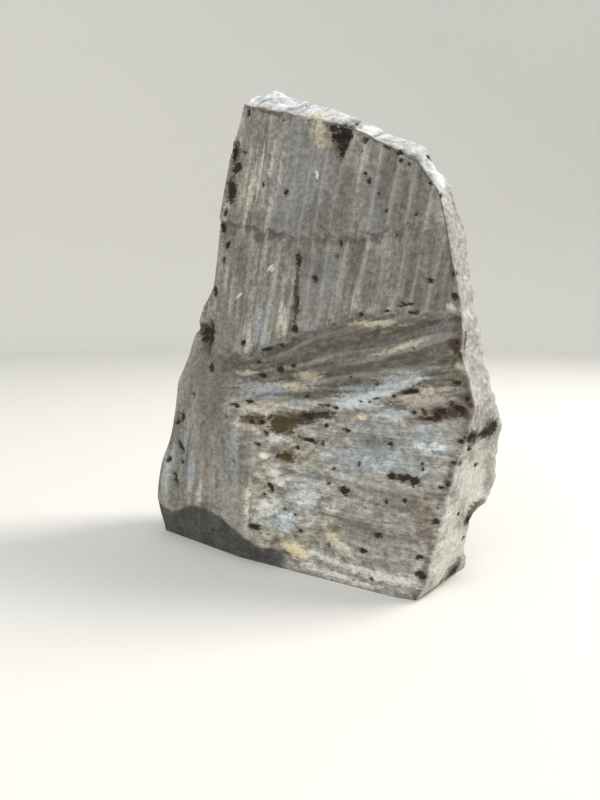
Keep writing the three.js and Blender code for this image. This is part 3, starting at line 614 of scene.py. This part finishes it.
def oval(mark, x, z):
    """(1 - r^2)^2 inside an oval, where r is 1 at its uneven rim, and 0 outside it."""
    reach = np.hypot((x - mark[0]) / mark[2], (z - mark[1]) / mark[3]) * (1 + ripples(OVAL_UNEVEN, x, z))
    return np.maximum(0, 1 - reach * reach) ** 2


def chamfer_height(x, z):
    """The chamfer: a ridge at its line, which slopes evenly back to the foot and up the front."""
    line = line_height(CHAMFER_LINE, x)
    share = np.where(z < line, z / line, np.maximum(0, 1 - (z - line) / CHAMFER_RUN))
    return CHAMFER_PROUD * share * smoothstep(x, *CHAMFER_START) * (1 - smoothstep(x, *CHAMFER_END))


def front_zones(x, z):
    """The shares of the upright cuts, the slanting band and the rough lower half at x, z."""
    cuts_end = line_height(LEDGES[1]["line"], x)
    upright = smoothstep(z, cuts_end - CUTS_FADE, cuts_end + CUTS_FADE)
    return upright, (1 - upright) * smoothstep(z, *BAND_FOOT), 1 - smoothstep(z, *ROUGH_TOP)


def front_relief(x, z):
    """The front's relief that the solid has too: cuts above, a fan below them, and a rough lower half."""
    upright, slanting, rough = front_zones(x, z)
    height = upright * gouge_cuts(x, z) + slanting * fan_cuts(x, z) + rough * ripples(ROUGH_HALF, x, z)
    height += sum(ledge_height(ledge, x, z) for ledge in LEDGES)
    height -= sum(hollow[4] * oval(hollow, x, z) for hollow in HOLLOWS)
    height += sum(lump[4] * oval(lump, x, z) for lump in LUMPS)
    return height


def lumpy_share(x, z):
    """1 in the lumpy left part of the lower half, an oval, and 0 outside it."""
    reach = np.hypot((x - LUMPY[0]) / LUMPY[2], (z - LUMPY[1]) / LUMPY[3]) + ripples(LUMPY_UNEVEN, x, z)
    return 1 - smoothstep(reach, *LUMPY_EDGE)


def front_fine_relief(x, z):
    """Fine relief of the front: noise drawn out along the strokes, thin beds below, and lumps at left."""
    upright, slanting, rough = front_zones(x, z)
    degrees, distance = fan_place(x, z)
    lines = ripples(CUT_LINES, x - GOUGE_LEAN * z, z) + ripples(CUT_GRAIN, x, z)
    slants = ripples(SLANT_LINES, np.radians(degrees) * FAN_ARC, distance) + ripples(SLANT_GRAIN, x, z)
    beds, lumps = ripples(THIN_BEDS, x, z), ripples(SMALL_LUMPS, x, z)
    return upright * lines + slanting * slants + rough * (beds + lumpy_share(x, z) * (lumps - beds))


def broken_relief(points):
    """The broken sides: the deepest of the hollows that reach a point, over a coarse grain."""
    uneven = 1 + swells(SCAR_UNEVEN, points)
    hollows = [
        depth * np.maximum(0, 1 - (np.linalg.norm(points - np.array(at), axis=-1) / radius * uneven) ** 2)
        for at, radius, depth in SCARS
    ]
    return swells(BROKEN_COARSE, points) - np.max(hollows, 0)


def broken_fine_relief(points):
    """Fine relief of the broken sides: noise cut into steps, so that thin plates of stone end in crisp edges
    and each plate tilts nearly back to the noise's mean, and three finer grains, the last about 2 mm."""
    level = swells(BROKEN_PLATES, points)
    plate = np.floor(level) + smoothstep(level - np.floor(level), *PLATE_STEP)
    return PLATE_HEIGHT * (plate - PLATE_BACK * level) + swells(BROKEN_FINE, points)


def mark_field(marks, x, z):
    """1 at the middle of a mark, 1/3 at its outline and 0 at half as far again; the strongest mark counts.
    Noise shifts the points a little first, so that no outline is a clean oval, and small marks are weaker."""
    shift_x, shift_z = (ripples(shift, x, z) for shift in MARK_SHIFTS)
    x, z = x + shift_x, z + shift_z
    field = np.zeros_like(x)
    for at_x, at_z, half_x, half_z, *tilt in marks:
        turn = math.radians(tilt[0] if tilt else 0)
        dx, dz = x - at_x, z - at_z
        across = (dx * math.cos(turn) + dz * math.sin(turn)) / half_x
        along = (dz * math.cos(turn) - dx * math.sin(turn)) / half_z
        strength = min(1, MARK_LEAST + MARK_GROWS * half_x * half_z)
        field = np.maximum(field, strength * (1 - np.hypot(across, along) / MARK_FADE))
    return field


def edge_closeness(places, shares, reach=CHIP_REACH):
    """1 on the sharp arrises and the edge of the top, falling as a bell curve of so many mm."""
    top_edge = np.where(shares < 1, (1 - shares) * SIDE_SPAN, (shares - 1) * BEVEL_SPAN)
    side = np.min([np.abs(places - sharp) * ARRIS_SPAN for sharp in SHARP_ARRISES], 0)
    nearest = np.minimum(side[None, :], top_edge[:, None])
    return np.exp(-(nearest / reach) ** 2)


# -------- The fine surface --------


def zone_shares(points, places, shares):
    """Where the front, its left panel, its three zones and the other zones are, each 0 to 1 on the grid."""
    x, _, z = np.moveaxis(points, -1, 0)
    turn = len(ARRISES)
    wrapped = np.where(places > turn + FRONT_START[0], places - turn, places)[None, :]
    on_sides = (1 - smoothstep(shares, *TOP_START))[:, None]
    front = on_sides * smoothstep(wrapped, *FRONT_START) * (1 - smoothstep(wrapped, *FRONT_END))
    panel = front * (1 - smoothstep(wrapped, *PANEL_END)) * (1 - smoothstep(z, *PANEL_TOP))
    upright, slanting, rough = (front * (1 - panel) * zone for zone in front_zones(x, z))
    facet = on_sides * smoothstep(wrapped, *FACET_START) * (1 - smoothstep(wrapped, *FACET_END))
    # the chamfer's painted shade: below its line, and a little way above it at the right
    below = line_height(CHAMFER_LINE, x) + CHAMFER_SPREAD * smoothstep(x, *CHAMFER_CLIMBS) - z
    chamfer = front * smoothstep(below, -CHAMFER_EDGE, CHAMFER_EDGE) * (1 - smoothstep(x, *CHAMFER_FADES))
    top = (1 - on_sides) * np.ones_like(z)
    return {
        "everywhere": np.ones_like(z), "front": front, "panel": panel,
        "upright": upright, "slanting": slanting,
        "rough": rough, "lumpy": rough * lumpy_share(x, z), "facet": facet, "top": top, "chamfer": chamfer,
        "broken": (1 - np.maximum(front, top)) * (1 - FACET_CLEAN * facet),
    }


def carve(points, places, shares, zones):
    """Moves each point along the loft's normal by its relief, which dies out at the foot and is weaker on
    top. Returns the moved points and the height by which each was moved."""
    x, _, z = np.moveaxis(points, -1, 0)
    front, panel = zones["front"], zones["panel"]
    own = broken_relief(points) * (1 - front) + front_relief(x, z) * front
    own = own * (1 - panel) + ripples(PANEL_FLUTES, x, z) * panel + chamfer_height(x, z) * front
    facet = smoothstep(places, *FACET_SMOOTHS) * (1 - smoothstep(places, *FACET_END))
    broken = broken_fine_relief(points) * (1 - FACET_PLAIN * facet)
    fine = broken * (1 - front) + front_fine_relief(x, z) * front
    fine = fine * (1 - panel) + ripples(PANEL_LINES, x, z) * panel
    chips = np.maximum(0, swells(CHIPS, points) + CHIP_MORE)
    fine = fine - CHIP_DEPTH * chips * edge_closeness(places, shares)
    fine = fine - PIT_DEPTH * smoothstep(zones["pits"], *PIT_EDGE)
    strength = smoothstep(z, *FOOT_FADE) * (1 - TOP_STRENGTH * smoothstep(shares, *TOP_FADE))[:, None]
    height = strength * (swells(WAVES, points) + own + fine)
    normals = loft_normals(places, shares)
    return unfolded(points + height[..., None] * normals, normals), height


def unfolded(points, normals):
    """The grid with its folds smoothed out. A cell is folded where it faces away from the loft's normal, or
    nearly so. In each round, the points round a folded cell move to the mean of their four neighbours."""
    for _ in range(UNFOLD_ROUNDS):
        above = np.concatenate([points[1:], points[-1:]])
        below = np.concatenate([points[:1], points[:-1]])
        right, left = np.roll(points, -1, 1), np.roll(points, 1, 1)
        folded = np.zeros(points.shape[:2], bool)
        for along, upwards in ((right - points, above - points), (points - left, above - points)):
            cell = np.cross(along, upwards)
            folded |= (cell * normals).sum(-1) < FOLDED * np.linalg.norm(cell, axis=-1)
        folded[-1] = False
        for axis in (0, 1):
            folded = folded | np.roll(folded, 1, axis) | np.roll(folded, -1, axis)
        folded[0] = False
        points = np.where(folded[..., None], (above + below + right + left) / 4, points)
    return points


def hollowness(height):
    """How far a point lies below the mean of a square of grid points round it, in mm."""
    mean = height
    for axis in (0, 1):
        mean = np.mean([np.roll(mean, step, axis) for step in range(-HOLLOW_REACH, HOLLOW_REACH + 1)], 0)
    return mean - height


def closed_faces(points, rows, columns):
    """Triangles of the closed grid, each cell parted along its shorter diagonal, and a fan at each end."""
    here = (np.arange(rows - 1)[:, None] * columns + np.arange(columns)[None, :]).ravel()
    beside = (np.arange(rows - 1)[:, None] * columns + (np.arange(columns) + 1)[None, :] % columns).ravel()
    a, b, c, d = here, beside, beside + columns, here + columns
    first = np.linalg.norm(points[a] - points[c], axis=1) <= np.linalg.norm(points[b] - points[d], axis=1)
    lower = np.where(first[:, None], np.stack([a, b, c], 1), np.stack([a, b, d], 1))
    upper = np.where(first[:, None], np.stack([a, c, d], 1), np.stack([b, c, d], 1))
    ring = np.arange(columns)
    beyond = (ring + 1) % columns
    last = (rows - 1) * columns
    foot = np.stack([np.full(columns, rows * columns), beyond, ring], 1)
    top = np.stack([last + ring, last + beyond, np.full(columns, rows * columns + 1)], 1)
    return np.concatenate([lower, upper, foot, top])


def place_in_scene(name, data):
    """An object of this name for a mesh, a light or a camera, linked to the scene."""
    thing = bpy.data.objects.new(name, data)
    bpy.context.scene.collection.objects.link(thing)
    return thing


def soapstone_block():
    """The block as one closed mesh, the loft moved along its normals by its relief, with a value at every
    point for each of FIELDS. The last two points close the foot and the top. They take their ring's mean."""
    places, shares = column_places("columns"), course_shares(ROWS)
    base = loft(places, shares)
    zones = zone_shares(base, places, shares)
    x, _, z = np.moveaxis(base + np.array(CENTRING), -1, 0)
    facing = smoothstep(-loft_normals(places, shares)[..., 1], *MARKED_FACING)
    beside = smoothstep(np.abs(places - MARKED_MIDDLE), *MARKED_END)
    towards_front = 1 - beside + smoothstep(places, *MARKED_START)
    bevel = (1 - smoothstep(shares, *BEVEL_END))[:, None] * towards_front[None, :]
    marked = np.maximum(facing, zones["top"] * bevel)
    zones.update({name: marked * np.maximum(0, mark_field(ovals, x, z)) for name, ovals in MARKS.items()})
    points, height = carve(base, places, shares, zones)
    degrees, distance = fan_place(base[..., 0], z)
    values = {
        **zones,
        # painted shadow, with some dirt, just under the ledges where the gouge cuts stop
        "seam_shadows": facing * np.maximum(zones["upright"], zones["slanting"]) * seam_shadows(base[..., 0], z),
        "strokes": strokes(base[..., 0], z),
        "scored": zones["upright"] * (1 - CALM_CLEAN * smoothstep(zones["calm"], *CALM_EDGE)),
        "outside_chamfer_shade": 1 - CHAMFER_CLEAN * zones["chamfer"],
        # everywhere but the chamfer, whose colours are painted shade
        "cap": zones["top"] * (1 - bevel),
        "bright": np.maximum(zones["facet"], zones["top"]),
        "rim": zones["front"] * edge_closeness(places + RIM_INSET, shares, RIM_REACH),
        "hollow": np.clip(0.5 + (HOLLOW_TONE - HOLLOW_LESS * zones["broken"]) * hollowness(height), 0, 1),
        "edge": edge_closeness(places, shares),
        "bearing": np.radians(degrees),
        "distance": distance * MM,
    }
    poles = np.array([(0, 0, 0), CAP_MIDDLE])
    vertices = (np.concatenate([points.reshape(-1, 3), poles]) + np.array(CENTRING)) * MM
    faces = closed_faces(vertices, len(shares), len(places))
    mesh = bpy.data.meshes.new("soapstone_block")
    mesh.from_pydata(vertices.tolist(), [], faces.tolist())
    for name in FIELDS:
        value = values[name]
        ends = [value[0].mean(), value[-1].mean()]
        attribute = mesh.attributes.new(name, "FLOAT", "POINT")
        attribute.data.foreach_set("value", np.append(value.ravel(), ends).astype(np.float32))
    mesh.polygons.foreach_set("use_smooth", np.ones(len(faces), bool))
    mesh.update()
    return place_in_scene("soapstone_block", mesh)


# -------- Materials --------

MIX_FACTOR, MIX_A, MIX_B, MIX_RESULT = 0, 6, 7, 2  # sockets of a Mix node that mixes colours
FLAT = 1000  # a streak this long, in mm, doesn't vary along that axis
TONE_EDGE = (0.36, 0.64)  # the values of a grain between which its dark colour turns to its light one
TORN_REACH = 0.1  # the value of a mark's field above which it may cover fully, so that its whole outline does
GRIT_BUMP, BUMP_STRENGTH, BUMP_DISTANCE = 0.45, 0.6, 0.6  # the grit beside the streaks, and the bump, in mm
RUBBED, DUSTY = 0.74, 0.9  # roughness of dry talc

# The grain of each zone, by the field that says where it is: the length, depth and height of one streak in
# mm, the streaks' turn about Y in degrees, how much finer detail they carry, and their dark and light
# colours. The first covers the broken sides, and the others are laid over it in turn.
ZONES = {
    "everywhere": ((12, 12, 3), 8, 0.7, "#87847c", "#acaaa1"),
    "upright": ((2.6, FLAT, 24), 9.5, 0.55, "#76736c", "#96938b"),
    "slanting": ((2.4, 26, FLAT), 0, 0.7, "#4b473f", "#726e62"),
    "rough": ((7, FLAT, 2.6), 0, 0.7, "#85827a", "#aaa79e"),
    "lumpy": ((5, 5, 2.4), 0, 0.6, "#827d70", "#bcb8ab"),
    "panel": ((4, FLAT, 40), 0, 0.55, "#716f67", "#95938a"),
    # painted light: the facet and the top get paler copies of the stone's colours, as they look in full
    # light, the top a little blue as under the sky
    "facet": ((10, 10, 7), 0, 0.5, "#a4a39d", "#bfbfbb"),
    "top": ((9, 9, 5), 0, 0.6, "#c2c6c8", "#eaeef0"),
    # painted shade: the chamfer faces down, so it gets dark colours, as it looks in shade
    "chamfer": ((6, FLAT, 12), 0, 0.6, "#434240", "#53524e"),
}

# Grains that are the same all over: the size of a cell in mm, its turn, and how much finer detail it carries.
GRAINS = {
    "drift": ((16, 16, 9), 0, 0.6),  # the stone's own warm and cool drifts
    "tints": ((7, 7, 3), 0, 0.6),  # smaller ones, along its beds
    "scores": ((0.8, FLAT, 18), 9.5, 0.5),  # left by nicks in the gouge
    "beds": ((9, FLAT, 0.9), 0, 0.5),
    "layers": ((24, 24, 1.5), 8, 0.7),  # talc and chlorite on the broken sides
    "patches": ((18, 18, 8), 8, 0.75),
    "crusts": ((30, 30, 17), 0, 0.7),  # weathered places between fresher ones
    "mottle": ((2.4, 2.4, 2), 0, 0.6),
    "ragged": ((1.8, 1.8, 1), 0, 0.7),  # tears the edges of the marks
    "flecks": ((1.7, 1.7, 0.9), 0, 0.4),  # magnetite, under a millimetre
    "pores": ((4.2, 4.2, 3), 0, 0.6),  # stained pits of the broken sides
    "grit": ((0.8, 0.8, 0.7), 0, 0.6),
}


def layer(by, edge, cover, colour=None, within=None, **torn):
    """A colour to lay over those before it. `by` is the field or grain that places it, and `torn` the grains
    added to that, each with its amount. The colour comes in between the two values of `edge`, up to `cover`,
    and only where the field `within` is above 0. Without a colour, the grain makes the colours under it
    darker and lighter."""
    return by, edge, cover, colour, within, torn


LAYERS = [
    layer("drift", (0.5, 0.72), 0.35, "#8f7f6b", "outside_chamfer_shade"),
    layer("drift", (0.48, 0.3), 0.3, "#949896", "outside_chamfer_shade"),
    layer("tints", (0.53, 0.66), 0.4, "#9a8c77", "outside_chamfer_shade"),
    layer("tints", (0.47, 0.34), 0.3, "#9ea3a4", "outside_chamfer_shade"),
    layer("strokes", (0.5, 1.0), 0.42, "#b9b5ab", "scored", streaks=1.4, mottle=0.5),
    layer("strokes", (0.5, 0.0), 0.42, "#615d55", "scored", streaks=1.4, mottle=0.5),
    # the broken sides and the middle of the top
    layer("patches", (0.53, 0.6), 0.4, "#c9c8c1", "broken", layers=0.5),
    layer("patches", (0.46, 0.38), 0.55, "#68655d", "broken", layers=0.5),
    layer("layers", (0.56, 0.64), 0.35, "#a7aaa8", "broken", ragged=0.2),
    layer("layers", (0.44, 0.32), 0.5, "#84765f", "broken", drift=0.8),
    layer("crusts", (0.56, 0.63), 0.5, "#7c6b50", "broken", layers=0.4, mottle=0.2),
    layer("crusts", (0.45, 0.39), 0.4, "#62625e", "broken", layers=0.4, mottle=0.2),
    layer("cap", (0.2, 0.8), 0.55, "#989892", drift=0.8, mottle=0.3),
    # the marks
    layer("calm", (0.05, 0.5), 0.7, "#838280", ragged=0.5),
    layer("haze", (0.05, 0.5), 0.7, "#939897", streaks=0.8, ragged=0.8),
    # grey chlorite, and painted shadow under the scalloped ends of the upper cuts and left of the ridge above
    # the foot
    layer("slate_and_shadow", (0.1, 0.7), 0.55, "#5d5a53", streaks=1.8, ragged=0.6),
    # painted shadow, with some dirt, under the ledges where the gouge cuts stop
    layer("seam_shadows", (0.15, 1.0), 0.68, "#4d4840", tints=2.4, streaks=1.2, ragged=1.2),
    layer("rim", (0.3, 0.9), 0.6, "#544a3e", tints=2.0, ragged=1.4),
    layer("pale", (0.05, 0.8), 0.65, "#aab1b3", streaks=1.6, ragged=1.4),
    layer("frost", (0.1, 0.7), 0.75, "#cdd5d6", streaks=1.6, ragged=1.2),
    layer("cream", (0.15, 0.75), 0.55, "#cbc4b3", streaks=2.0, ragged=1.6),
    # white talc, and painted light low on the right facet and on the ridge above the foot
    layer("chalk_and_light", (0.1, 0.7), 0.7, "#dfddd5", streaks=1.4, ragged=1.4),
    layer("tan", (0.1, 0.65), 0.65, "#c9bda3", streaks=1.4, ragged=2.0),
    layer("honey", (0.15, 0.6), 0.85, "#efdcb4", ragged=1.4),
    layer("stains", (0.15, 0.75), 0.6, "#64523b", streaks=1.2, ragged=2.0),
    layer("ochre", (0.05, 0.42), 0.95, "#4a3a15", streaks=1.2, ragged=1.6),
    layer("umber", (0.2, 0.6), 0.85, "#3b2d24", streaks=1.2, ragged=1.8),
    # the scores, the beds and what lies across them, the mottle and the grit
    layer("scores", (0.3, 0.7), 0.14, within="scored"),
    layer("beds", (0.3, 0.7), 0.2, within="rough"),
    layer("pores", (0.35, 0.65), 0.16, within="rough"),
    layer("mottle", (0.35, 0.65), 0.22, within="everywhere"),
    layer("grit", (0.35, 0.65), 0.12, within="everywhere"),
    # darker in the hollows, and lighter on the crests
    layer("hollow", (0.5, 0.9), 0.4, "#4f4a43", "everywhere"),
    layer("hollow", (0.5, 0.15), 0.2, "#d2cfc6", "outside_chamfer_shade"),
    # pits and flecks
    layer("pits", (0.1, 0.5), 0.5, "#5b4d3d", streaks=0.8, ragged=2.0),
    layer("pits", (0.36, 0.58), 0.92, "#221c16", streaks=0.4, ragged=1.6),
    layer("pores", (0.59, 0.68), 0.6, "#6b5a44", "broken", ragged=0.3),
    layer("pores", (0.66, 0.7), 0.85, "#2e251c", "broken", ragged=0.3),
    layer("flecks", (0.67, 0.72), 0.7, "#3a332a", "rough"),
    layer("flecks", (0.7, 0.75), 0.4, "#3d372f", "everywhere"),
    # arrises rubbed pale, and thin scratches
    layer("edge", (0.5, 0.95), 0.4, "#e0dacd", "bright", mottle=1.2),
    layer("scratches", (0.2, 0.5), 0.8, "#dcdad4", ragged=0.5),
]


def linear(colour):
    """A hex sRGB colour as linear red, green, blue and alpha, by the sRGB curve."""
    parts = [int(colour[start:start + 2], 16) / 255 for start in (1, 3, 5)]
    return (*[part / 12.92 if part <= 0.04045 else ((part + 0.055) / 1.055) ** 2.4 for part in parts], 1.0)


def add(tree, kind, inputs=None, **properties):
    """Adds a node: its properties by name, and each input set to a constant or linked to the output given."""
    node = tree.nodes.new(kind)
    for name, value in properties.items():
        setattr(node, name, value)
    for socket, value in (inputs or {}).items():
        if isinstance(value, bpy.types.NodeSocket):
            tree.links.new(value, node.inputs[socket])
        else:
            node.inputs[socket].default_value = value
    return node


def new_material(name):
    """An empty node material, and its tree."""
    material = bpy.data.materials.new(name)
    material.use_nodes = True
    material.node_tree.nodes.clear()
    return material, material.node_tree


def soapstone_grains(tree, fields):
    """Every grain by name, a value from 0 to 1, in mm of the block, or of the fan's arcs in its cuts."""
    here = add(tree, "ShaderNodeTexCoord").outputs["Object"]
    arc = add(tree, "ShaderNodeMath", {0: fields["bearing"], 1: FAN_ARC * MM},
              operation="MULTIPLY").outputs[0]
    fan = add(tree, "ShaderNodeCombineXYZ", {0: arc, 1: fields["distance"]}).outputs[0]
    grains = {}
    for name, (size, turn, fine, *_) in {**ZONES, **GRAINS}.items():
        placed = add(tree, "ShaderNodeMapping", {
            "Vector": fan if name == "slanting" else here,
            "Rotation": (0, math.radians(turn), 0),
            "Scale": tuple(part * MM for part in size),
        }, vector_type="TEXTURE").outputs[0]
        grains[name] = add(tree, "ShaderNodeTexNoise", {
            "Vector": placed, "Scale": 1.0, "Detail": 4.0, "Roughness": fine,
        }).outputs[0]
    return grains


def zone_tones(tree, fields, grains):
    """The colour and streaks of every zone, each laid over those before it. The first covers the block."""
    colour, streaks = linear("#87847c"), 0.5
    for name, (*_, dark, light) in ZONES.items():
        share = add(tree, "ShaderNodeMapRange", {
            "Value": grains[name], "From Min": TONE_EDGE[0], "From Max": TONE_EDGE[1],
        }, interpolation_type="SMOOTHSTEP").outputs[0]
        tone = add(tree, "ShaderNodeMix", {MIX_FACTOR: share, MIX_A: linear(dark), MIX_B: linear(light)},
                   data_type="RGBA").outputs[MIX_RESULT]
        colour = add(tree, "ShaderNodeMix", {MIX_FACTOR: fields[name], MIX_A: colour, MIX_B: tone},
                     data_type="RGBA").outputs[MIX_RESULT]
        streaks = add(tree, "ShaderNodeMix", {0: fields[name], 2: streaks, 3: grains[name]},
                      data_type="FLOAT").outputs[0]
    return colour, streaks


def laid_over(tree, colour, places):
    """The colour under every one of LAYERS, each placed by a field or a grain and torn by others."""
    for by, edge, cover, hue, within, torn in LAYERS:
        place, shift = places[by], 0
        for name, amount in torn.items():
            place = add(tree, "ShaderNodeMath", {0: places[name], 1: amount, 2: place},
                        operation="MULTIPLY_ADD").outputs[0]
            shift += amount / 2  # a grain's mean is a half
        share = add(tree, "ShaderNodeMapRange", {
            "Value": place, "From Min": edge[0] + shift, "From Max": edge[1] + shift,
        }, interpolation_type="SMOOTHSTEP").outputs[0]
        covered = add(tree, "ShaderNodeMapRange", {
            "Value": places[within or by], "From Max": 1.0 if within else TORN_REACH, "To Max": cover,
        }).outputs[0]
        if hue is None:
            colour = add(tree, "ShaderNodeMix", {MIX_FACTOR: covered, MIX_A: colour, MIX_B: share},
                         data_type="RGBA", blend_type="OVERLAY").outputs[MIX_RESULT]
        else:
            covered = add(tree, "ShaderNodeMath", {0: share, 1: covered}, operation="MULTIPLY").outputs[0]
            colour = add(tree, "ShaderNodeMix", {MIX_FACTOR: covered, MIX_A: colour, MIX_B: linear(hue)},
                         data_type="RGBA").outputs[MIX_RESULT]
    return colour


def soapstone():
    """Dry hand-cut soapstone: talc with chlorite, dull and a little waxy. The eye gets grey streaked the way
    each tool went, darker hollows, lighter crests, iron stains round open pits, and cream on fresh breaks."""
    material, tree = new_material("hand-cut soapstone")
    fields = {name: add(tree, "ShaderNodeAttribute", attribute_name=name).outputs["Fac"] for name in FIELDS}
    grains = soapstone_grains(tree, fields)
    colour, streaks = zone_tones(tree, fields, grains)
    colour = laid_over(tree, colour, {**grains, **fields, "streaks": streaks})
    grit = add(tree, "ShaderNodeMath", {0: grains["grit"], 1: GRIT_BUMP, 2: streaks},
               operation="MULTIPLY_ADD")
    bump = add(tree, "ShaderNodeBump", {
        "Height": grit.outputs[0], "Strength": BUMP_STRENGTH, "Distance": BUMP_DISTANCE * MM,
    })
    roughness = add(tree, "ShaderNodeMapRange", {
        "Value": grains["mottle"], "From Min": 0.2, "From Max": 0.8, "To Min": RUBBED, "To Max": DUSTY,
    })
    surface = add(tree, "ShaderNodeBsdfPrincipled", {
        "Base Color": colour,
        "Roughness": roughness.outputs[0],
        "IOR": 1.57,  # talc
        "Specular IOR Level": 0.24,  # dust dulls it
        "Normal": bump.outputs[0],
    })
    add(tree, "ShaderNodeOutputMaterial", {"Surface": surface.outputs[0]})
    return material


def matt_paper():
    """Pale background paper, even and without gloss."""
    material, tree = new_material("pale paper")
    surface = add(tree, "ShaderNodeBsdfPrincipled", {"Base Color": linear("#e3e2dd"), "Roughness": 0.95})
    add(tree, "ShaderNodeOutputMaterial", {"Surface": surface.outputs[0]})
    return material


# -------- The studio --------

EYE = (-0.0061, -0.3106, 0.110)  # the camera, in metres
PITCH = 7.5  # degrees it looks down
LENS = 31.5  # mm, on a sensor 36 mm along the long side of a 600 by 800 frame


def paper_cove():
    """A round paper cove, a profile turned about Z: flat floor, quarter circle of 0.4 m, upright wall."""
    floor, bend, top, sides = 1.5, 0.4, 2.4, 96
    turn = np.linspace(0, math.pi / 2, 24)
    radius = np.concatenate([[0.01], floor + bend * np.sin(turn), [floor + bend]])
    height = np.concatenate([[0], bend - bend * np.cos(turn), [top]])
    angle = np.arange(sides) / sides * 2 * math.pi
    ring = np.stack([np.cos(angle), np.sin(angle)], -1)
    vertices = np.concatenate([
        (radius[:, None, None] * ring).reshape(-1, 2), np.repeat(height, sides)[:, None],
    ], 1)
    step, around = np.meshgrid(np.arange(len(radius) - 1), np.arange(sides), indexing="ij")
    here, beside = step * sides + around, step * sides + (around + 1) % sides
    faces = np.stack([here, here + sides, beside + sides, beside], -1).reshape(-1, 4)
    mesh = bpy.data.meshes.new("paper_cove")
    mesh.from_pydata(vertices.tolist(), [], [list(range(sides)), *faces.tolist()])
    mesh.polygons.foreach_set("use_smooth", np.ones(len(faces) + 1, bool))
    mesh.materials.append(matt_paper())
    return place_in_scene("paper_cove", mesh)


def soft_light(name, place, size, power, colour):
    """A square soft box at a place in metres, turned to face the middle of the block."""
    light = bpy.data.lights.new(name, "AREA")
    light.size, light.energy, light.color = size, power, linear(colour)[:3]
    box = place_in_scene(name, light)
    box.location = place
    aim = (cad_box[0] + cad_box[1]) / 2 - box.location
    box.rotation_mode = "QUATERNION"
    box.rotation_quaternion = aim.to_track_quat("-Z", "Y")
    box.visible_camera = False


def studio():
    """Pale paper all round, a soft box behind the right shoulder, a weak one in front, and an even sky."""
    paper_cove()
    soft_light("key", (0.72, 0.2, 0.98), 0.4, 11, "#fffaf2")
    soft_light("fill", (-0.7, -1.2, 0.9), 1.2, 9, "#f4f7ff")
    world = bpy.data.worlds.new("sky")
    world.use_nodes = True
    sky = world.node_tree.nodes["Background"].inputs
    sky["Color"].default_value, sky["Strength"].default_value = linear("#f4f6fa"), 0.95
    bpy.context.scene.world = world
    bpy.context.scene.view_settings.view_transform = "Standard"


def camera():
    """The camera, level from side to side and looking down by PITCH degrees."""
    data = bpy.data.cameras.new("camera")
    data.lens, data.sensor_width = LENS, 36
    data.clip_start, data.clip_end = 0.01, 20
    eye = place_in_scene("camera", data)
    eye.location = EYE
    eye.rotation_euler = (math.radians(90 - PITCH), 0, 0)
    bpy.context.scene.camera = eye


camera()
studio()
stone = soapstone_block()
stone.data.materials.append(soapstone())
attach(stone, "root")
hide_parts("stone")
